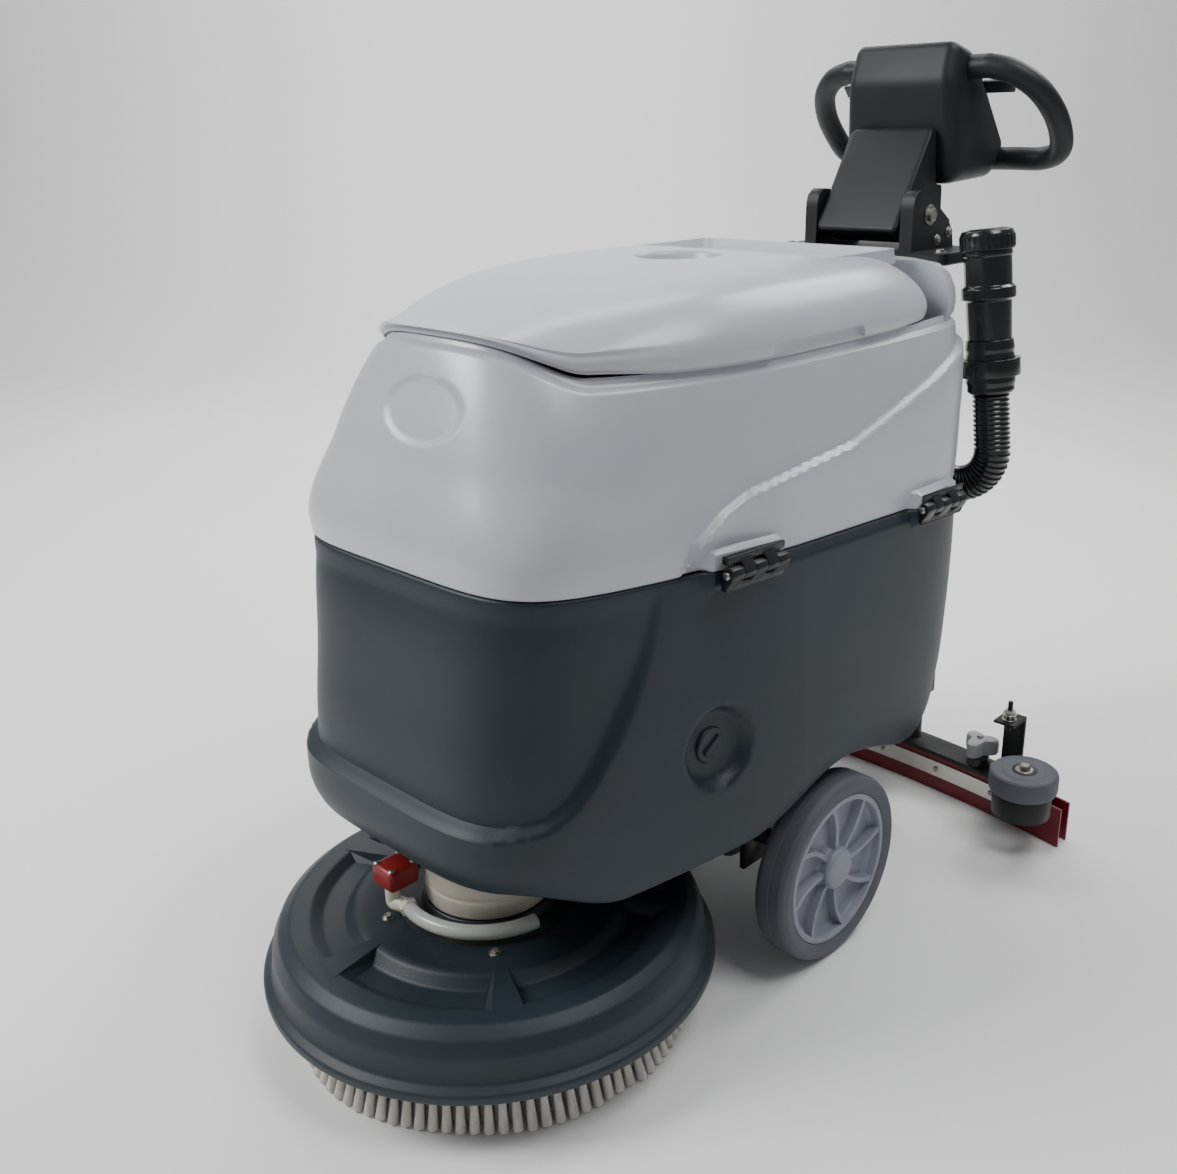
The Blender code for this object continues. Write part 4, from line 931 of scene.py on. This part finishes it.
softened("control_panel", BLACK, 0.8)
tilt = Quaternion((1, 0, 0), TILT)
blank = rounded_box("membrane", (-0.030, -0.0105, -0.0012), (0.030, 0.0105, 0.0004), corner=0.004)
repeat("panel_membrane", PALE, blank, [(on_panel(0, 0.050), tilt, 1.0)], "control_panel")
for k, material in enumerate((GREEN, AMBER, RED)):
    lens = lathe("lens", material, [(0, 0.0022), (0.002, 0.0016), (0.0028, -0.001), (0, -0.001)], sides=20,
                 closed=False, round_mm=0.4)
    repeat("panel_lens_%d" % k, material, lens, [(on_panel(-0.016 + 0.016 * k, 0.022, -0.0008), tilt, 1.0)],
           "control_panel")
bezel = lathe("bezel", ZINC, [(0.0125, -0.001), (0.0165, -0.001), (0.0160, 0.0018), (0.0132, 0.0024),
                              (0.0125, 0.0018)], sides=48, round_mm=0.5)
repeat("panel_bezels", ZINC, bezel, [(on_panel(*at), tilt, 1.0) for at in (START_AT, KEY_AT)],
       "control_panel")
button = [(0, 0.0115), (0.008, 0.0112), (0.0105, 0.0098), (0.011, 0.0035), (0, 0.0035)]
stands_for(lathe("start_button", GREEN, button, on_panel(*START_AT), NORMAL, 48, 1.0, False), "start_switch")
barrel = [(0, 0.0115), (0.0085, 0.0115), (0.0115, 0.0095), (0.012, -0.0002), (0, -0.0002)]
stands_for(lathe("key_barrel", STEEL, barrel, on_panel(*KEY_AT), NORMAL, 48, 0.8, False), "key_switch")
key = show(bevel_edges(block((0.003, 0.017, 0.018), (0, 0, 0.0165)), 0.0011, 3), "key", BLACK)
repeat("key_blade", BLACK, key, [(on_panel(*KEY_AT), tilt, 1.0)], "key_switch")
dial = [(0, 0.0136), (0.0118, 0.0136), (0.0138, 0.0120), (0.0152, 0.0005), (0.0152, -0.0004), (0, -0.0004)]
stands_for(lathe("speed_dial_knob", KNOB, dial, on_panel(*DIAL_AT), NORMAL, 64, 0.8, False), "speed_dial")
ridge = show(bevel_edges(block((0.0022, 0.0016, 0.010), (0.0146, 0, 0.0055)), 0.0005), "ridge", KNOB)
repeat("speed_dial_ridges", KNOB, ridge,
       [(on_panel(*DIAL_AT), tilt @ Quaternion((0, 0, 1), 2 * math.pi * k / 20), 1.0) for k in range(20)],
       "speed_dial")

# %% [markdown]
# ## Drain hose
# The recovery tank empties through a hose that hangs at the back in a clip. It is a smooth tube with
# a ring at every few millimetres. The rings are one torus, placed along the route by the repeater.

# %% Drain hose
HOSE_AT, LEAN = Vector((0.219, 0.402, 0.6757)), math.radians(6.6)
UP = Vector((-math.sin(LEAN), 0, math.cos(LEAN)))
drain_parts = (
    ("drain_cap", [(0, 0.2235), (0.024, 0.2230), (0.0335, 0.2205), (0.0362, 0.2150), (0.0362, 0.1946),
                   (0, 0.1946)], False),
    ("drain_neck", [(0.024, 0.1943), (0.033, 0.1943), (0.0335, 0.188), (0.0322, 0.186), (0.0322, 0.148),
                    (0.0368, 0.144), (0.0368, 0.130), (0.0310, 0.127), (0.0300, 0.0746), (0.024, 0.0746)],
     True),
    ("drain_cuff", [(0.020, 0.0743), (0.032, 0.0743), (0.0338, 0.062), (0.0322, 0.056), (0.0338, 0.050),
                    (0.0338, 0.016), (0.0322, 0.010), (0.0325, 0.004), (0.030, 0.0003), (0.020, 0.0003)],
     True))
for node, profile, closed in drain_parts:
    stands_for(lathe(node + "_turned", GLOSSY, profile, HOSE_AT, UP, 80, 1.2, closed), node)
softened("drain_clip", GLOSSY, 0.7)
softened("drain_spigot", BLACK, 0.8)
rib = show(bevel_edges(block((0.0018, 0.0030, 0.017), (0.0362, 0, 0.2055)), 0.0006), "rib", BLACK)
repeat("drain_cap_ribs", GLOSSY, rib,
       [(HOSE_AT, facing(UP, 2 * math.pi * k / 28), 1.0) for k in range(28)], "drain_cap")
route = [HOSE_AT - UP * d for d in (0.0, 0.03, 0.085)]
knee, reach = route[-1], (route[-1].x - 0.110) / 2
for k in range(1, 25):
    a = -LEAN + (math.pi + LEAN) * k / 24
    level = knee.z + (0.600 - knee.z) * k / 24
    route.append(Vector((0.110 + reach * (1 + math.cos(a)), 0.402, level - reach * math.sin(a))))
route.append(Vector((0.110, 0.402, 0.610)))
stands_for(pipe("drain_hose_tube", GLOSSY, route, 0.0228), "drain_hose")
gone = [0.0]
for a, b in zip(route, route[1:]):
    gone.append(gone[-1] + (b - a).length)
turns, places = frames_along(route), []
for d in np.arange(0.004, gone[-1] - 0.003, 0.0068):
    i = min(int(np.searchsorted(gone, d)), len(route) - 1)
    t = (d - gone[i - 1]) / (gone[i] - gone[i - 1])
    places.append((route[i - 1].lerp(route[i], t), turns[i - 1].slerp(turns[i], t), 1.0))
ring = lathe("ring", BLACK, [(0.0222 + 0.0036 * math.cos(a), 0.0024 * math.sin(a))
                             for a in [2 * math.pi * k / 8 for k in range(8)]],
             sides=36, round_mm=0.01)
repeat("drain_hose_rings", GLOSSY, ring, places, "drain_hose")
print("hose length %.0f mm, %d rings" % (gone[-1] * 1000, len(places)))


# %% [markdown]
# ## Squeegee
# Two red rubber blades are clamped to a curved black frame by steel straps. Grey rollers at the ends
# keep it off the walls, and three-lobed knobs release the blades.

# %% Squeegee
SQUEEGEE_Y, CURVE = 0.470, 1.87
ROLLER_X, ROLLER_Y, KNOB_Z = 0.335, 0.380, 0.0723


def arc_y(x, offset=0.0):
    """The squeegee's curve in plan, furthest back in its middle."""
    return SQUEEGEE_Y + offset - x * x / (2 * CURVE)


def arc_bar(name, material, half, low, high, front, back, edge=0.0006):
    """A thin bar that follows the squeegee's curve."""
    rings = []
    for k in range(81):
        x = -half + 2 * half * k / 80
        rings.append([(x, arc_y(x, y), z) for y,
                      z in ((front, low), (back, low), (back, high), (front, high))])
    return show(bevel_edges(skin(rings), edge, 2, 50), name, material)


def lobed_ring(size, z):
    """A three-lobed outline for the knobs that hold the squeegee."""
    ring = []
    for a in [2 * math.pi * k / 90 for k in range(90)]:
        radius = (0.0222 + 0.0078 * math.cos(3 * a)) * size
        ring.append((radius * math.cos(a + math.pi / 6), radius * math.sin(a + math.pi / 6), z))
    return ring


softened("squeegee_frame", POWDER, 0.7)
for name, front, back, strap_front, strap_back in (("front", -0.0155, -0.0118, -0.0180, -0.0158),
                                                   ("rear", 0.0118, 0.0155, 0.0158, 0.0180)):
    stands_for(arc_bar("blade_" + name, RED_RUBBER, 0.382, 0.0, 0.0637, front, back),
               "squeegee_blade_" + name)
    stands_for(arc_bar("strap_" + name, STEEL, 0.300, 0.026, 0.052, strap_front, strap_back, 0.0004),
               "squeegee_strap_" + name)
    side = -1 if name == "front" else 1
    spots = [((x, arc_y(x, side * 0.0181), 0.039), facing((x / CURVE, side, 0)), 1.0)
             for x in (-0.26, -0.156, -0.052, 0.052, 0.156, 0.26)]
    repeat("strap_screws_" + name, ZINC, dome_screw(0.005, 0.003), spots, "squeegee_strap_" + name)
wing = lathe("wing", STEEL, [(0, 0.012), (0.004, 0.012), (0.006, 0.009), (0.006, 0), (0, 0)], sides=28,
             closed=False)
carve(wing, show(bevel_edges(block((0.030, 0.003, 0.011), (0, 0, 0.0125)), 0.0012), "blades", STEEL), "UNION")
repeat("strap_wing_nuts", STEEL, wing, [((x, arc_y(x, 0.0181), 0.039), facing((0, 1, 0), 0.5), 1.0)
                                        for x in (-0.208, 0.208)],
       "squeegee_strap_rear")

for side, name in SIDES:
    x = side * 0.225
    y = arc_y(x) - 0.004
    lobes = [lobed_ring(size, z) for size, z in ((0.86, 0.0195), (0.96, 0.0205), (1.0, 0.0235), (1.0, 0.0385),
                                                 (0.96, 0.0425), (0.86, 0.0445), (0.55, 0.0455))]
    knob = show(skin(lobes), "squeegee_knob_lobes_" + name, KNOB)
    knob.data.transform(Matrix.Translation((x, y, KNOB_Z)))
    stands_for(knob, "squeegee_knob_" + name)
    stem = lathe("squeegee_knob_base_" + name, BLACK,
                 [(0, 0.0198), (0.0125, 0.0198), (0.0165, 0.014), (0.0178, 0.0003), (0, 0.0003)],
                 (x, y, KNOB_Z), sides=48, closed=False)
    goes_with(stem, "squeegee_knob_" + name)
    goes_with(lathe("squeegee_knob_pin_" + name, ZINC,
                    [(0, 0.0495), (0.004, 0.0495), (0.005, 0.048), (0.005, 0.044), (0, 0.044)],
                    (x, y, KNOB_Z), sides=28, closed=False, round_mm=0.5), "squeegee_knob_" + name)
    roller = [(0.0068, 0.1300), (0.030, 0.1300), (0.033, 0.1285), (0.0400, 0.1285), (0.0450, 0.1298),
              (0.0490, 0.1270), (0.0500, 0.1230), (0.0500, 0.1040), (0.0490, 0.1000), (0.0450, 0.0966),
              (0.0068, 0.0966)]
    stands_for(lathe("guard_roller_turned_" + name, TYRE, roller, (side * ROLLER_X, ROLLER_Y, 0), sides=96,
                     round_mm=1.5), "guard_roller_" + name)
# A thin black disc on top of each guard roller, under its bolt, is painted shade: it stands in for the shade
# inside a recess there.
for side, name in SIDES:
    goes_with(lathe("roller_washer_" + name, BLACK,
                    [(0, 0.1312), (0.0175, 0.1312), (0.019, 0.1290), (0, 0.1290)],
                    (side * ROLLER_X, ROLLER_Y, 0), sides=48, closed=False, round_mm=0.5), "squeegee_frame")
tops = [((side * ROLLER_X, ROLLER_Y, 0.1302), Quaternion((0, 0, 1), 0.3), 1.0) for side in (-1, 1)]
repeat("roller_bolts", ZINC, hex_bolt(0.014, 0.008, 0.013), tops, "squeegee_frame")
nuts = [((side * 0.275, 0.442, z), Quaternion((0, 0, 1), 0.2 + z), 1.0) for side in (-1, 1)
        for z in (0.1702, 0.1790)]
repeat("bracket_nuts", ZINC, hex_bolt(0.014, 0.007, 0.011), nuts, "squeegee_frame")

# %% [markdown]
# ## Studio
# A pale sheet of paper that sweeps up behind, four soft lamps and an even sky show the object
# without adding to it. The camera stands where the nose, the left side and the lid can all be seen.

# %% Floor, lamps, camera
swing, pitch, roll = math.radians(43.978), math.radians(20.063), math.radians(-1.113)
back = Vector((-math.sin(swing), math.cos(swing), 0))
across = Vector((math.cos(swing), math.sin(swing), 0))
sweep = [(-4.0, 0.0), (4.0, 0.0)] + [(4.0 + 1.6 * math.sin(a), 1.6 - 1.6 * math.cos(a))
                                     for a in np.linspace(0.1, math.pi / 2, 14)]
sweep.append((5.6, 6.0))
sheet = skin([[back * (d + thick) + across * side + Vector((0, 0, z - 0.0006 - thick)) for side,
               thick in ((-7, 0), (7, 0), (7, 0.02), (-7, 0.02))]
              for d, z in sweep])
backdrop = show(sheet, "studio_sweep", finish("studio paper", "#f0f0ef", "#f3f3f2", 0.60, 3.0, 0.01,
                                              patch_mm=900.0), 60)
for name, spot, size, watts in (("key", (-1.5, -2.2, 2.6), 1.4, 95), ("fill", (1.3, 0.1, 3.0), 1.2, 36),
                                ("back", (0.3, 2.2, 2.8), 1.4, 45), ("paper", (-2.4, 1.4, 3.4), 3.0, 150)):
    lamp = bpy.data.lights.new(name, "AREA")
    lamp.energy, lamp.size = watts, size
    holder = bpy.data.objects.new(name, lamp)
    holder.location = spot
    aim = Vector((0, 0, 0.5)) if name != "paper" else back * 4.5 + Vector((0, 0, 0.6))
    holder.rotation_euler = (aim - Vector(spot)).to_track_quat("-Z", "Y").to_euler()
    bpy.context.scene.collection.objects.link(holder)
world = bpy.data.worlds.new("even sky")
world.use_nodes = True
world.node_tree.nodes["Background"].inputs["Color"].default_value = linear("#eef1f4")
world.node_tree.nodes["Background"].inputs["Strength"].default_value = 0.28
bpy.context.scene.world = world

view = bpy.data.cameras.new("view")
view.lens, view.shift_x, view.shift_y = 37.81, -0.0287, -0.0079
camera = bpy.data.objects.new("view", view)
bpy.context.scene.collection.objects.link(camera)
ahead = Vector((-math.sin(swing) * math.cos(pitch), math.cos(swing) * math.cos(pitch), -math.sin(pitch)))
right = ahead.cross(Vector((0, 0, 1))).normalized()
up = right.cross(ahead)
right, up = right * math.cos(roll) + up * math.sin(roll), up * math.cos(roll) - right * math.sin(roll)
camera.matrix_world = Matrix.Translation((1.034, -1.194, 1.036)) @ Matrix((right, up,
        -ahead)).transposed().to_4x4()
bpy.context.scene.camera = camera
